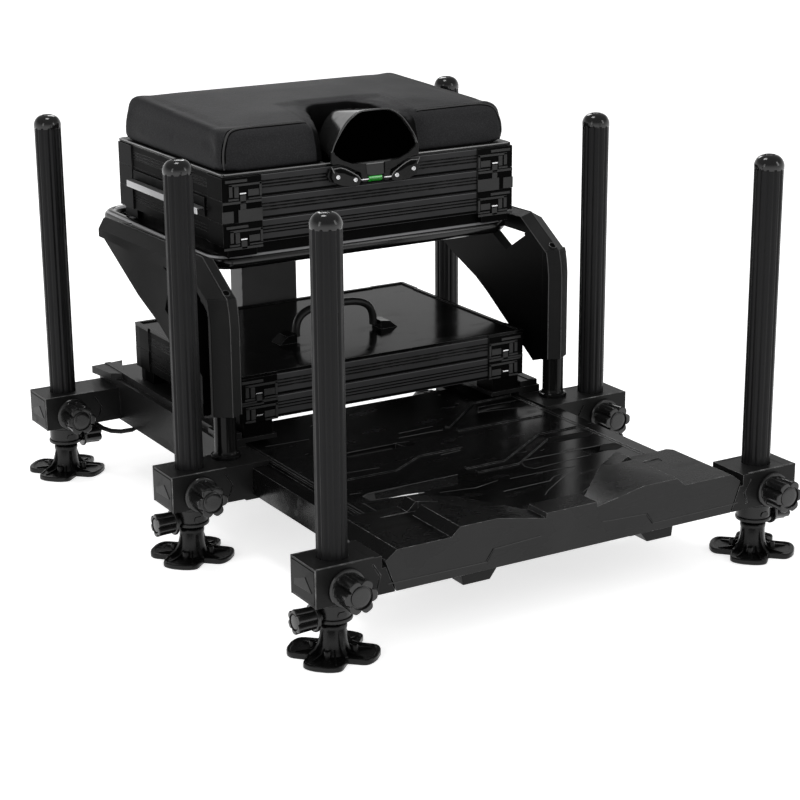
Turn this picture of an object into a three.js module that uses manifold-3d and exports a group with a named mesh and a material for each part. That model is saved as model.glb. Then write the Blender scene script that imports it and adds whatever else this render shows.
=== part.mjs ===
// Match fishing seat box: six telescopic legs, a sliding footplate, a low tray stack and a raised seat
// stack on two side frames. Millimetres, +Z up. The angler faces -Y, and X runs across the seat.
// The origin lies on the ground under the middle of the footprint.
import * as THREE from 'three';
import { mergeVertices } from 'three/addons/utils/BufferGeometryUtils.js';
import Module from 'manifold-3d';

const wasm = await Module();
wasm.setup();

// ---------------------------------------------------------------- driving dimensions
const gap = 0.3; // between pieces that touch or slide
const cutRun = 6; // how far a cut runs past the piece that it cuts
const weld = 2; // how far one welded or moulded member reaches into the next

const moduleHalfWidth = 220.5; // half the width of a tray module over its corner blocks
const moduleDepth = 327;
const moduleHeight = 29.4;
const modulePitch = moduleHeight + gap;

const frontRowReach = 85.5; // side of a module to a leg axis
const midRowReach = 90.5;
const rearRowReach = 100.5;
const frontRowX = moduleHalfWidth + frontRowReach;
const midRowX = moduleHalfWidth + midRowReach;
const rearRowX = moduleHalfWidth + rearRowReach;
const midRowSpacing = 363; // front leg row to middle leg row
const rearRowSpacing = 761; // front leg row to rear leg row

const legRadius = 18; // fluted 36 mm match leg
const legTopZ = 496; // top of the fluted tube, under its cap
const legEndZ = 60; // lower end of the tube, inside the collar
const legBoreRadius = 13;
const slideGap = 0.6; // round a leg in its sleeve

const armBottomZ = 74;
const armHeight = 46;
const armTopZ = armBottomZ + armHeight;
const armFront = 32; // leg axis to the front face of an arm
const armBack = 28;
const armEnd = 38; // leg axis to the outer end of an arm

const footRadius = 54;
const ballZ = 28; // centre of the ball joint over the ground
const knobFlange = 5;
const knobBarrel = 30;
const knobReach = armFront + gap + knobFlange + knobBarrel;

const petalShares = [[-0.5, 0.66], [-0.36, 0.8], [-0.27, 0.96], [-0.1, 1], [0.1, 1], [0.27, 0.96], [0.36, 0.8]];
const petalCount = 4;
const petalTurn = Math.PI / petalCount; // the first petal points halfway between X and Y
const petalOutline = Array.from({ length: petalCount }, (_, petal) => petalShares.map(([turn, reach]) => {
  const angle = petalTurn + (2 * Math.PI * (petal + turn)) / petalCount;
  return [footRadius * reach * Math.cos(angle), footRadius * reach * Math.sin(angle)];
})).flat();
const footReachY = Math.max(...petalOutline.map(([, y]) => y));

const seatSetback = 67; // middle leg row to the front of the seat stack
const deckRearOverhang = 58; // seat stack rear to the rear tube of the deck
const deckTubeRadius = 9.5;
const deckReachY = midRowSpacing + seatSetback + moduleDepth + deckRearOverhang + deckTubeRadius;

const frontRowY = -(Math.max(rearRowSpacing + footReachY, deckReachY) - knobReach) / 2;
const midRowY = frontRowY + midRowSpacing;
const rearRowY = frontRowY + rearRowSpacing;

const lowSetback = 37; // middle leg row to the front of the low stack
const seatFrontY = midRowY + seatSetback;
const lowFrontY = midRowY + lowSetback;

// ---------------------------------------------------------------- materials
const finish = (color, roughness, metalness) => new THREE.MeshStandardMaterial({ color, roughness, metalness });
const anodised = finish(0x1b1c1e, 0.42, 0.7);
const powderCoat = finish(0x121213, 0.38, 0.25);
const mouldedMatt = finish(0x161617, 0.55, 0);
const mouldedGloss = finish(0x101011, 0.22, 0);
const fabric = finish(0x2b2b2d, 0.9, 0);
const brightAlloy = finish(0xb9bbbd, 0.35, 0.9);
const vialGreen = finish(0x22c21c, 0.15, 0);

// ---------------------------------------------------------------- solids
// A closed three.js geometry becomes a solid: vertices are merged, empty triangles dropped,
// and a surface that was wound inwards is turned round.
function toSolid(source) {
  const bare = source.clone();
  bare.deleteAttribute('normal');
  bare.deleteAttribute('uv');
  const merged = mergeVertices(bare);
  const position = merged.attributes.position;
  const index = merged.index.array;
  const triangles = [];
  const [a, b, c] = [new THREE.Vector3(), new THREE.Vector3(), new THREE.Vector3()];
  let volume = 0;
  for (let i = 0; i < index.length; i += 3) {
    const [p, q, r] = [index[i], index[i + 1], index[i + 2]];
    if (p === q || q === r || r === p) continue;
    triangles.push([p, q, r]);
    a.fromBufferAttribute(position, p);
    b.fromBufferAttribute(position, q);
    c.fromBufferAttribute(position, r);
    volume += a.dot(b.cross(c));
  }
  const wound = volume < 0 ? triangles.map(([p, q, r]) => [r, q, p]) : triangles;
  const vertProperties = Float32Array.from(position.array);
  const triVerts = Uint32Array.from(wound.flat());
  return new wasm.Manifold(new wasm.Mesh({ numProp: 3, vertProperties, triVerts }));
}

function toMesh(name, solid, material) {
  const found = solid.getMesh();
  const geometry = new THREE.BufferGeometry();
  geometry.setAttribute('position', new THREE.BufferAttribute(found.vertProperties, 3));
  geometry.setIndex(new THREE.BufferAttribute(found.triVerts, 1));
  geometry.computeVertexNormals();
  const mesh = new THREE.Mesh(geometry, material);
  mesh.name = name;
  return mesh;
}

const join = (...solids) => solids.flat().reduce((whole, solid) => whole.add(solid));
const cut = (body, ...tools) => tools.flat().reduce((left, tool) => left.subtract(tool), body);

const axisFrames = {
  x: new THREE.Matrix4().makeBasis(
    new THREE.Vector3(0, 1, 0), new THREE.Vector3(0, 0, 1), new THREE.Vector3(1, 0, 0)),
  y: new THREE.Matrix4().makeBasis(
    new THREE.Vector3(1, 0, 0), new THREE.Vector3(0, 0, 1), new THREE.Vector3(0, -1, 0)),
  z: new THREE.Matrix4(),
};

// A prism on an outline of (y, z) points for axis x, (x, z) points for axis y or (x, y) points for axis z.
function prismGeometry(axis, points, from, to) {
  const shape = new THREE.Shape(points.map(([u, v]) => new THREE.Vector2(u, v)));
  const [low, high] = [Math.min(from, to), Math.max(from, to)];
  const geometry = new THREE.ExtrudeGeometry(shape, { depth: high - low, bevelEnabled: false });
  geometry.applyMatrix4(axisFrames[axis]);
  if (axis === 'x') geometry.translate(low, 0, 0);
  if (axis === 'y') geometry.translate(0, high, 0);
  if (axis === 'z') geometry.translate(0, 0, low);
  return geometry;
}
const prism = (axis, points, from, to) => toSolid(prismGeometry(axis, points, from, to));
const block = (x0, x1, y0, y1, z0, z1) => prism('z', [[x0, y0], [x1, y0], [x1, y1], [x0, y1]], z0, z1);

// A turned form on a (radius, height) profile, set at a point with its axis along a direction.
function turned(profile, sides, at = [0, 0, 0], direction = [0, 0, 1]) {
  const geometry = new THREE.LatheGeometry(profile.map(([r, h]) => new THREE.Vector2(r, h)), sides);
  const aim = new THREE.Quaternion().setFromUnitVectors(
    new THREE.Vector3(0, 1, 0), new THREE.Vector3(...direction));
  geometry.applyQuaternion(aim);
  geometry.translate(...at);
  return toSolid(geometry);
}
const rod = (radius, length, sides, at, direction) =>
  turned([[0, 0], [radius, 0], [radius, length], [0, length]], sides, at, direction);

// A skin through rings of points with a flat face at each end; flat gives the plane of those faces.
function loft(rings, flat) {
  const count = rings[0].length;
  const index = [];
  for (let row = 0; row + 1 < rings.length; row += 1) {
    for (let i = 0; i < count; i += 1) {
      const next = (i + 1) % count;
      const [a, b] = [row * count + i, row * count + next];
      index.push(a, b, b + count, a, b + count, a + count);
    }
  }
  const last = (rings.length - 1) * count;
  const facesOf = (ring) => THREE.ShapeUtils.triangulateShape(ring.map(flat), []);
  const clockwise = THREE.ShapeUtils.isClockWise(rings[0].map(flat));
  const onRing = (faces, first) => faces.map((face) => (clockwise ? [...face].reverse() : face).map((k) => first + k));
  for (const [p, q, r] of onRing(facesOf(rings[0]), 0)) index.push(r, q, p);
  for (const [p, q, r] of onRing(facesOf(rings[rings.length - 1]), last)) index.push(p, q, r);
  const geometry = new THREE.BufferGeometry();
  geometry.setAttribute('position', new THREE.Float32BufferAttribute(rings.flat(2), 3));
  geometry.setIndex(index);
  return toSolid(geometry);
}
const inPlan = ([x, y]) => new THREE.Vector2(x, y);
const fromSide = ([, y, z]) => new THREE.Vector2(y, z);
const fromFront = ([x, , z]) => new THREE.Vector2(x, z);

// A path through given stations: each parameter step lands on one station, so bends keep their rings.
class StationPath extends THREE.Curve {
  constructor(stations) {
    super();
    this.stations = stations;
  }

  getUtoTmapping(u) {
    return u;
  }

  getPoint(t) {
    const place = t * (this.stations.length - 1);
    const i = Math.min(Math.floor(place), this.stations.length - 2);
    return this.stations[i].clone().lerp(this.stations[i + 1], place - i);
  }

  getTangent(t) {
    const i = Math.round(t * (this.stations.length - 1));
    const into = this.stations[i].clone().sub(this.stations[Math.max(i - 1, 0)]).normalize();
    const out = this.stations[Math.min(i + 1, this.stations.length - 1)].clone().sub(this.stations[i]).normalize();
    return into.add(out).normalize();
  }
}

// A round tube along straight runs with an arc at each inner point.
function tube(points, bendRadius, radius, sides, arcSteps) {
  const corners = points.map((point) => new THREE.Vector3(...point));
  const stations = [corners[0]];
  for (let i = 1; i + 1 < corners.length; i += 1) {
    const back = corners[i - 1].clone().sub(corners[i]).normalize();
    const on = corners[i + 1].clone().sub(corners[i]).normalize();
    const half = back.angleTo(on) / 2;
    const centre = corners[i].clone().addScaledVector(
      back.clone().add(on).normalize(), bendRadius / Math.sin(half));
    const run = bendRadius / Math.tan(half);
    const start = corners[i].clone().addScaledVector(back, run).sub(centre);
    const end = corners[i].clone().addScaledVector(on, run).sub(centre);
    const turn = start.angleTo(end);
    for (let k = 0; k <= arcSteps; k += 1) {
      const angle = (turn * k) / arcSteps;
      const point = start.clone().multiplyScalar(Math.sin(turn - angle) / Math.sin(turn));
      point.addScaledVector(end, Math.sin(angle) / Math.sin(turn));
      stations.push(point.add(centre));
    }
  }
  stations.push(corners[corners.length - 1]);
  const section = new THREE.Shape(Array.from({ length: sides }, (_, k) => new THREE.Vector2(
    radius * Math.cos((2 * Math.PI * k) / sides), radius * Math.sin((2 * Math.PI * k) / sides))));
  return toSolid(new THREE.ExtrudeGeometry(section, {
    steps: stations.length - 1, extrudePath: new StationPath(stations), bevelEnabled: false,
  }));
}

const spread = (shares, u0, du, v0, dv) => shares.map(([u, v]) => [u0 + u * du, v0 + v * dv]);
const mirrorX = (points) => points.map(([x, y]) => [-x, y]);

const sides = [['left', -1], ['right', 1]];
const seatBox = new THREE.Group();

// ---------------------------------------------------------------- leg sets
// Fluted outer leg with its domed cap, open at the bottom for the inner leg.
const fluteDepth = 1.3;
const fluteCount = 12;
const fluteShares = [[-0.5, 1], [-0.22, 0], [0.22, 0], [0.5, 1]];
const capSides = 16;
const legSides = 12;
const legCap = 16;
const legCapShares = [[0, -0.1], [1.025, -0.1], [1.025, 0.22], [0.88, 0.66], [0.5, 1], [0.34, 1], [0.29, 0.86], [0, 0.86]];

function makeLeg() {
  const fluted = Array.from({ length: fluteCount }, (_, flute) => fluteShares.slice(0, -1).map(([turn, depth]) => {
    const angle = (2 * Math.PI * (flute + turn)) / fluteCount;
    const radius = legRadius - fluteDepth * depth;
    return [radius * Math.cos(angle), radius * Math.sin(angle)];
  })).flat();
  const barrel = prism('z', fluted, legEndZ, legTopZ);
  const cap = turned(spread(legCapShares, 0, legRadius, legTopZ, legCap), capSides);
  const bore = rod(legBoreRadius, legTopZ - legEndZ, legSides, [0, 0, legEndZ - legCap], [0, 0, 1]);
  return cut(join(barrel, cap), bore);
}

// Inner leg: a plain tube end over a stem and a ball.
const innerLegRadius = 12.3;
const innerLegLength = 230;
const ballRadius = 9.2;
const ballShares = [[0, -1], [0.7, -0.72], [1, 0], [0.8, 0.6]];
const stemRadius = 5.5;
const stemTop = 17; // ball centre to the shoulder under the inner leg

function makeInnerLeg() {
  const shoulder = ballZ + stemTop;
  const profile = [...spread(ballShares, 0, ballRadius, ballZ, ballRadius),
    [stemRadius, ballZ + ballRadius], [stemRadius, shoulder], [innerLegRadius, shoulder + weld],
    [innerLegRadius, ballZ + innerLegLength], [0, ballZ + innerLegLength]];
  return turned(profile, legSides);
}

// Collar that clamps the inner leg under the outer one, with a boss for its knob on the +X side.
const collarRadius = 21.5;
const collarRing = 1.5; // raised ring at the foot of the collar
const collarBottom = 44;
const collarKnobZ = 50;
const collarBossRadius = 10;
const collarBossReach = 23;

function makeCollar() {
  const throat = innerLegRadius + slideGap;
  const mouth = legRadius + 2 * slideGap;
  const top = armBottomZ - gap;
  const ringTop = collarBottom + 3 * weld;
  const profile = [[throat, collarBottom], [collarRadius - collarRing, collarBottom],
    [collarRadius + collarRing, collarBottom + weld], [collarRadius + collarRing, ringTop - weld],
    [collarRadius, ringTop], [collarRadius, top], [mouth, top], [mouth, legEndZ - gap],
    [throat, legEndZ - gap], [throat, collarBottom]];
  const bossStart = legRadius + gap;
  const boss = rod(collarBossRadius, collarBossReach - bossStart, knobStemSides, [bossStart, 0, collarKnobZ + weld], [1, 0, 0]);
  const stemHole = rod(knobStemRadius + gap, collarRadius + cutRun, knobStemSides, [0, 0, collarKnobZ], [1, 0, 0]);
  return cut(join(turned(profile, capSides), boss), stemHole);
}

// Clamping knob: flange, six-lobed barrel with a sunk cap, and a plain stem. It points along +Z.
const knobRadius = 23;
const smallKnobRadius = 16.5;
const smallKnobFlange = 4;
const smallKnobBarrel = 23;
const knobStemRadius = 4;
const knobStemSides = 8;
const knobLobes = 6;
const knobSides = 12;
const lobeShares = [[-0.5, 0.64], [-0.32, 0.75], [-0.16, 0.84], [0.16, 0.84], [0.32, 0.75]];
const knobCapShare = 0.55;
const knobCapDepth = 1.6;

function makeKnob(radius, flange, barrel, stemLength) {
  const lobed = Array.from({ length: knobLobes }, (_, lobe) => lobeShares.map(([turn, reach]) => {
    const angle = (2 * Math.PI * (lobe + turn)) / knobLobes;
    return [radius * reach * Math.cos(angle), radius * reach * Math.sin(angle)];
  })).flat();
  const face = flange + barrel;
  const disc = turned([[0, 0], [radius, 0], [radius, flange - weld], [radius - weld, flange], [0, flange]], knobSides);
  const grip = prism('z', lobed, flange - weld, face);
  const stem = rod(knobStemRadius, stemLength + weld, knobStemSides, [0, 0, -stemLength], [0, 0, 1]);
  const sunk = rod(radius * knobCapShare, cutRun, knobSides, [0, 0, face - knobCapDepth], [0, 0, 1]);
  return cut(join(disc, grip, stem), sunk);
}

// Mud foot: four petals on a ribbed plate, with a socket for the ball.
const footPlate = 7;
const footHubRadius = 15;
const footHubTop = 40;
const footRibs = 4;
const footRibThick = 3.5;
const footRibShares = [[0.2, 0.5], [0.6, 0.5], [0.56, 2], [0.2, 4.6]]; // of the foot radius and its plate
const socketGap = 0.9;
const socketShares = [[1.42, 1], [1.1, 0.5], [1, 0], [0.75, -0.72], [0, -1]];

function makeFoot() {
  const plate = prism('z', petalOutline, 0, footPlate);
  const ribs = Array.from({ length: footRibs }, (_, rib) => {
    const outline = spread(footRibShares, 0, footRadius, 0, footPlate);
    const geometry = prismGeometry('y', outline, -footRibThick / 2, footRibThick / 2);
    return toSolid(geometry.rotateZ((2 * Math.PI * rib) / footRibs));
  });
  const socketRadius = ballRadius + socketGap;
  const hub = turned([[0, footPlate - weld], [footHubRadius + 2 * weld, footPlate - weld],
    [footHubRadius, footHubTop], [0, footHubTop]], legSides);
  const lift = footHubTop - ballZ;
  const hollow = turned([[0, footHubTop + cutRun], [socketRadius * socketShares[0][0], footHubTop + cutRun],
    ...socketShares.map(([r, h]) => [socketRadius * r, ballZ + (h > 0 ? lift : socketRadius) * h])], legSides);
  return cut(join(plate, hub, ribs), hollow);
}

const legSolid = makeLeg();
const innerLegSolid = makeInnerLeg();
const collarSolid = makeCollar();
const footSolid = makeFoot();
const legKnobStem = armFront + gap - legRadius - gap;
const legKnobSolid = makeKnob(knobRadius, knobFlange, knobBarrel, legKnobStem);
const collarKnobStem = collarBossReach + gap - innerLegRadius - gap;
const collarKnobSolid = makeKnob(smallKnobRadius, smallKnobFlange, smallKnobBarrel, collarKnobStem);
const legKnobShare = 0.4; // height of the knob on an arm
const legKnobZ = armBottomZ + legKnobShare * armHeight;

const rows = [
  { name: 'front', x: frontRowX, y: frontRowY },
  { name: 'mid', x: midRowX, y: midRowY },
  { name: 'rear', x: rearRowX, y: rearRowY },
];
for (const row of rows) {
  for (const [side, hand] of sides) {
    const name = `${row.name}_${side}`;
    const set = new THREE.Group();
    set.position.set(hand * row.x, row.y, 0);
    const inboard = row.name === 'rear' ? -hand : hand;
    const collar = toMesh(`${name}_leg_collar`, collarSolid, mouldedMatt);
    collar.rotation.z = inboard > 0 ? 0 : Math.PI;
    const collarKnob = toMesh(`${name}_collar_knob`, collarKnobSolid, mouldedGloss);
    collarKnob.position.set(inboard * (collarBossReach + gap), 0, collarKnobZ);
    collarKnob.rotation.y = (inboard * Math.PI) / 2;
    const legKnob = toMesh(`${name}_leg_knob`, legKnobSolid, mouldedGloss);
    legKnob.position.set(0, -armFront - gap, legKnobZ);
    legKnob.rotation.x = Math.PI / 2;
    set.add(
      toMesh(`${name}_leg`, legSolid, anodised),
      toMesh(`${name}_inner_leg`, innerLegSolid, anodised),
      toMesh(`${name}_mud_foot`, footSolid, mouldedMatt),
      collar, collarKnob, legKnob,
    );
    seatBox.add(set);
  }
}

// Sleeve bores for a row of legs, with the holes for their knob stems.
const sleeveSides = 20;
// The bent groove between a knob and the root of its arm: reach from the knob and share of the arm's height.
const armGrooveShares = [[0.78, 0.83], [1, 0.5], [0.89, 0.17]];
const armGrooveReach = 44;
const armGrooveWidth = 2.4;
const armGrooveDepth = 1.5;

function armCuts(row) {
  return sides.flatMap(([, hand]) => [
    rod(legRadius + slideGap, armHeight + 2 * cutRun, sleeveSides,
      [hand * row.x, row.y, armBottomZ - cutRun], [0, 0, 1]),
    rod(knobStemRadius + gap, armFront + cutRun, knobStemSides,
      [hand * row.x, row.y, legKnobZ], [0, -1, 0]),
    prism('y', band(armGrooveShares.map(([u, v]) => [hand * (row.x - armGrooveReach * u), armBottomZ + armHeight * v]),
      armGrooveWidth), row.y - armFront - cutRun, row.y - armFront + armGrooveDepth),
  ]);
}

// ---------------------------------------------------------------- chassis
// Two inward-facing channels that carry the arms, the cross members and the shelf of the low stack.
const railReach = 27.5; // side of a module to the outside of a channel
const railOuterX = moduleHalfWidth + railReach;
const railWeb = 10;
const railFlange = 34;
const railBottomZ = 72;
const railWall = 6;
const railRearRun = 39; // rear leg row to the rear end of the channels
const shelfStartY = midRowY + lowSetback - weld;
const shelfTopZ = 130;
const footBlockInset = 6.5; // side of a module to the outside of its foot blocks
const footBlockRun = 42;
const footBlockDepth = 40;
const footBlockOuterX = moduleHalfWidth - footBlockInset;
const footBlockInnerX = footBlockOuterX - footBlockRun;
const shelfMargin = 4; // shelf past the foot blocks
const shelfInnerX = footBlockInnerX - shelfMargin;
const shelfThick = 5.7;
const lipInset = 16; // outside of a channel to the inner face of its lip
const lipInnerX = railOuterX - lipInset;
const lipThick = 8;
const lipHeight = 9;
const endBlockInset = 3;
const endBlockRun = 27;
const endBlockOuterX = railOuterX - endBlockInset;
const endBlockInnerX = endBlockOuterX - endBlockRun;
const endBlockDepth = 44;
const crossDepth = 42;
const rearCrossDepth = 50;
const rearCrossSetback = 26; // rear leg row back to the front of the rear cross member
const cornerCapHeight = 8;
const cornerCapShares = [[0.52, 0], [0.79, 0.14], [0.94, 0.91], [0, 1]];
const cornerCapWidth = 53;
const cornerCapDepth = 64;

const railInnerX = railOuterX - railFlange;
const railFrontY = midRowY - armFront;
const railRearY = rearRowY + railRearRun;

function makeChassis() {
  const parts = [];
  for (const [, hand] of sides) {
    const channel = [[railOuterX, railBottomZ], [railOuterX, armTopZ], [railInnerX, armTopZ],
      [railInnerX, armTopZ - railWall], [railOuterX - railWeb, armTopZ - railWall],
      [railOuterX - railWeb, railBottomZ + railWall], [railInnerX, railBottomZ + railWall],
      [railInnerX, railBottomZ]];
    const across = (points) => (hand > 0 ? points : mirrorX(points));
    parts.push(prism('y', across(channel), railFrontY, railRearY));
    const shelf = [[railOuterX, armTopZ - weld], [railOuterX, shelfTopZ], [shelfInnerX, shelfTopZ],
      [shelfInnerX, shelfTopZ - shelfThick], [railInnerX, shelfTopZ - shelfThick], [railInnerX, armTopZ - weld]];
    parts.push(prism('y', across(shelf), shelfStartY, railRearY));
    const lip = [[lipInnerX, shelfTopZ - weld], [lipInnerX + lipThick, shelfTopZ - weld],
      [lipInnerX + lipThick, shelfTopZ + lipHeight], [lipInnerX, shelfTopZ + lipHeight]];
    parts.push(prism('y', across(lip), lowFrontY + weld, railRearY - weld));
    const endBlock = [[endBlockInnerX, lowFrontY], [endBlockOuterX, lowFrontY],
      [endBlockOuterX, lowFrontY + endBlockDepth], [endBlockInnerX, lowFrontY + endBlockDepth]];
    parts.push(prism('z', across(endBlock), shelfTopZ - weld, shelfTopZ + cornerCapHeight));
    const cap = spread(cornerCapShares, railInnerX - weld, cornerCapWidth, railRearY - cornerCapDepth, cornerCapDepth);
    parts.push(prism('z', across(cap), shelfTopZ - weld, shelfTopZ + cornerCapHeight));
    for (const row of rows.slice(1)) {
      const arm = [[railOuterX - weld, row.y - armFront], [row.x + armEnd, row.y - armFront],
        [row.x + armEnd, row.y + armBack], [railOuterX - weld, row.y + armBack]];
      parts.push(prism('z', across(arm), armBottomZ, armTopZ));
    }
  }
  const reach = railInnerX + weld;
  const crossY = railFrontY + weld;
  parts.push(block(-reach, reach, crossY, crossY + crossDepth, railBottomZ, railBottomZ + railWall));
  const rearY = rearRowY - rearCrossSetback;
  parts.push(block(-reach, reach, rearY, rearY + rearCrossDepth, railBottomZ, armTopZ));
  const room = block(-reach + railFlange, reach - railFlange, rearY + railWall, rearY + rearCrossDepth - railWall,
    railBottomZ - cutRun, armTopZ - railWall);
  return cut(join(parts), room, rows.slice(1).flatMap(armCuts));
}
seatBox.add(toMesh('chassis_frame', makeChassis(), powderCoat));

// ---------------------------------------------------------------- footplate with its front beam and cover
const coverReach = 7; // outside of a channel to the side of the cover
const coverHalfWidth = railOuterX + coverReach;
const coverRise = 28.5; // footplate seat to the highest point of the cover
const coverDepth = 122;
const coverWall = 5.7;
const coverFootShare = 0.945; // how much narrower the front of the cover is at its foot
const coverTopShares = [[0, 0.754], [0.141, 0.754], [0.145, 0.544], [0.412, 1], [0.612, 1], [0.659, 0.632],
  [0.941, 0.632], [1, 0.246]];
const coverPlanShares = [[0.176, 0], [0.996, 0], [1.012, 0.574], [1.008, 0.787], [0.918, 1], [0.839, 0.984],
  [0.6, 1], [0.412, 0.73], [0.176, 0.303]];
const coverSlotShares = [[0.525, 0.7], [0.6, 0.803], [0.8, 0.811], [0.792, 0.721]];
const coverSeatZ = 106;
const coverFrontY = frontRowY - armFront;
const coverTopBottomZ = 112.3;
const slit = 1.8;
const tabInnerX = 103;
const tabOuterX = 153;
const tabDrop = 11;
const tabDepth = 20;

const plateTopZ = 118;
const plateHalfWidth = railInnerX - gap;
const plateBottomZ = 106;
const plateDepth = 480; // front leg row to the rear edge of the footplate
const runnerOuterX = railOuterX - railWeb - gap;
const runnerBottomZ = railBottomZ + railWall + gap;
const runnerTopZ = armTopZ - railWall - gap;
const runnerStart = 60; // front leg row to the front end of the runners
const runnerWall = 8;

const doubled = (points) => [...mirrorX(points).reverse(), ...points];

function makeBeam() {
  const half = frontRowX + armEnd;
  const full = block(-half, half, coverFrontY, frontRowY + armBack, armBottomZ, armTopZ);
  const lowTop = plateBottomZ - gap;
  const seat = coverHalfWidth * coverPlanShares[2][0] + slit;
  const footX = coverHalfWidth * coverFootShare + slit;
  const front = prism('y', [[-footX, armBottomZ - cutRun], [footX, armBottomZ - cutRun], [footX, armBottomZ],
    [seat, armTopZ], [seat, armTopZ + cutRun], [-seat, armTopZ + cutRun], [-seat, armTopZ], [-footX, armBottomZ]],
    coverFrontY - cutRun, coverFrontY + coverWall + gap);
  const top = block(-seat, seat, coverFrontY - cutRun, frontRowY + armBack + cutRun, lowTop, armTopZ + cutRun);
  const tabs = sides.map(([, hand]) => prism('z', [[hand * tabInnerX, frontRowY - tabDepth / 2],
    [hand * tabOuterX, frontRowY - tabDepth / 2], [hand * (tabOuterX - weld), frontRowY + tabDepth / 2],
    [hand * (tabInnerX + weld), frontRowY + tabDepth / 2]], armBottomZ - tabDrop, armBottomZ + weld));
  return cut(join(cut(full, front, top), tabs), armCuts(rows[0]));
}

function makeCover() {
  const rise = coverTopBottomZ - coverSeatZ;
  const profile = spread(coverTopShares, 0, coverHalfWidth, coverSeatZ, coverRise);
  const skyline = doubled([...profile.slice(1), [coverHalfWidth * coverPlanShares[2][0], coverSeatZ + rise]]);
  const deckFront = prism('y', skyline, coverFrontY, coverFrontY + coverDepth + cutRun);
  const plan = spread(coverPlanShares, 0, coverHalfWidth, coverFrontY, coverDepth);
  const centre = coverHalfWidth * coverPlanShares[0][0];
  const centreDepth = coverDepth * coverPlanShares[8][1];
  const wings = join(prism('z', plan, coverTopBottomZ, coverSeatZ + 2 * coverRise),
    prism('z', mirrorX(plan), coverTopBottomZ, coverSeatZ + 2 * coverRise),
    block(-centre - weld, centre + weld, coverFrontY, coverFrontY + centreDepth, coverTopBottomZ,
      coverSeatZ + 2 * coverRise));
  const footX = coverHalfWidth * coverFootShare;
  const fascia = prism('y', doubled([...profile.slice(1, 7), [profile[7][0], coverTopBottomZ], [footX, armBottomZ]]),
    coverFrontY, coverFrontY + coverWall);
  const slots = sides.map(([, hand]) => {
    const outline = spread(coverSlotShares, 0, hand * coverHalfWidth, coverFrontY, coverDepth);
    return prism('z', outline, coverSeatZ + coverRise - 2 * coverWall, coverSeatZ + 2 * coverRise);
  });
  return cut(join(deckFront.intersect(wings), fascia), slots);
}

// Through slots and raised ridges of the footplate, in shares of its half width and depth.
const plateSlotShares = [
  [[0.692, 0.29], [0.701, 0.338], [0.888, 0.342], [0.953, 0.292]],
  [[0.654, 0.427], [0.673, 0.463], [0.911, 0.46], [0.949, 0.431]],
  [[0.561, 0.752], [0.64, 0.8], [0.963, 0.798], [0.958, 0.748], [0.687, 0.767]],
  [[-0.832, 0.323], [-0.794, 0.335], [-0.45, 0.337], [-0.5, 0.264], [-0.827, 0.283]],
  [[-0.556, 0.644], [-0.19, 0.642], [-0.17, 0.606], [-0.556, 0.608]],
];
const plateRidgeShares = [
  [[-0.075, 0.367], [0.187, 0.369], [0.636, 0.504], [0.935, 0.508]],
  [[0.248, 0.688], [0.65, 0.842], [0.96, 0.852]],
  [[-0.056, 0.327], [0.224, 0.327], [0.636, 0.458]],
  [[0.266, 0.648], [0.897, 0.644]],
  [[-0.785, 0.455], [-0.45, 0.452], [-0.2, 0.52], [0.1, 0.52]],
];
const ridgeWidth = 7;
const ridgeHeight = 2;

// A narrow band of even width along an open line in plan.
function band(points, width) {
  const offset = (hand) => points.map(([x, y], i) => {
    const [ax, ay] = points[Math.max(i - 1, 0)];
    const [bx, by] = points[Math.min(i + 1, points.length - 1)];
    const length = Math.hypot(bx - ax, by - ay);
    return [x - (hand * width * (by - ay)) / (2 * length), y + (hand * width * (bx - ax)) / (2 * length)];
  });
  return [...offset(-1), ...offset(1).reverse()];
}

function makeFootplate() {
  const rearY = frontRowY + plateDepth;
  const frontY = coverFrontY + coverWall + gap;
  const plate = block(-plateHalfWidth, plateHalfWidth, frontY, rearY, plateBottomZ, plateTopZ);
  const runners = sides.map(([, hand]) => {
    const outline = [[plateHalfWidth - weld, plateBottomZ], [plateHalfWidth - weld, runnerTopZ],
      [runnerOuterX, runnerTopZ], [runnerOuterX, runnerBottomZ], [runnerOuterX - runnerWall, runnerBottomZ],
      [runnerOuterX - runnerWall, plateBottomZ]];
    return prism('y', hand > 0 ? outline : mirrorX(outline), frontRowY + runnerStart, rearY);
  });
  const toPlan = (shares) => spread(shares, 0, plateHalfWidth, frontRowY, plateDepth);
  const slots = plateSlotShares.map((shares) => prism('z', toPlan(shares), plateBottomZ - cutRun, plateTopZ + cutRun));
  const ridges = plateRidgeShares.map((shares) =>
    prism('z', band(toPlan(shares), ridgeWidth), plateTopZ - weld, plateTopZ + ridgeHeight));
  const plan = spread(coverPlanShares, 0, coverHalfWidth, coverFrontY, coverDepth)
    .map(([x, y]) => [x - (x < coverHalfWidth * coverPlanShares[6][0] ? gap : 0), y + 2 * gap]);
  const centre = coverHalfWidth * coverPlanShares[0][0];
  const centreDepth = coverDepth * coverPlanShares[8][1];
  const coverRoom = join(prism('z', plan, coverTopBottomZ - gap, plateTopZ + cutRun),
    prism('z', mirrorX(plan), coverTopBottomZ - gap, plateTopZ + cutRun),
    block(-centre - weld, centre + weld, coverFrontY, coverFrontY + centreDepth + gap,
      coverTopBottomZ - gap, plateTopZ + cutRun));
  return cut(join(plate, runners, ridges), slots, coverRoom);
}
seatBox.add(toMesh('front_beam', makeBeam(), powderCoat));
seatBox.add(toMesh('footplate_cover', makeCover(), mouldedMatt));
seatBox.add(toMesh('footplate', makeFootplate(), mouldedGloss));

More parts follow.
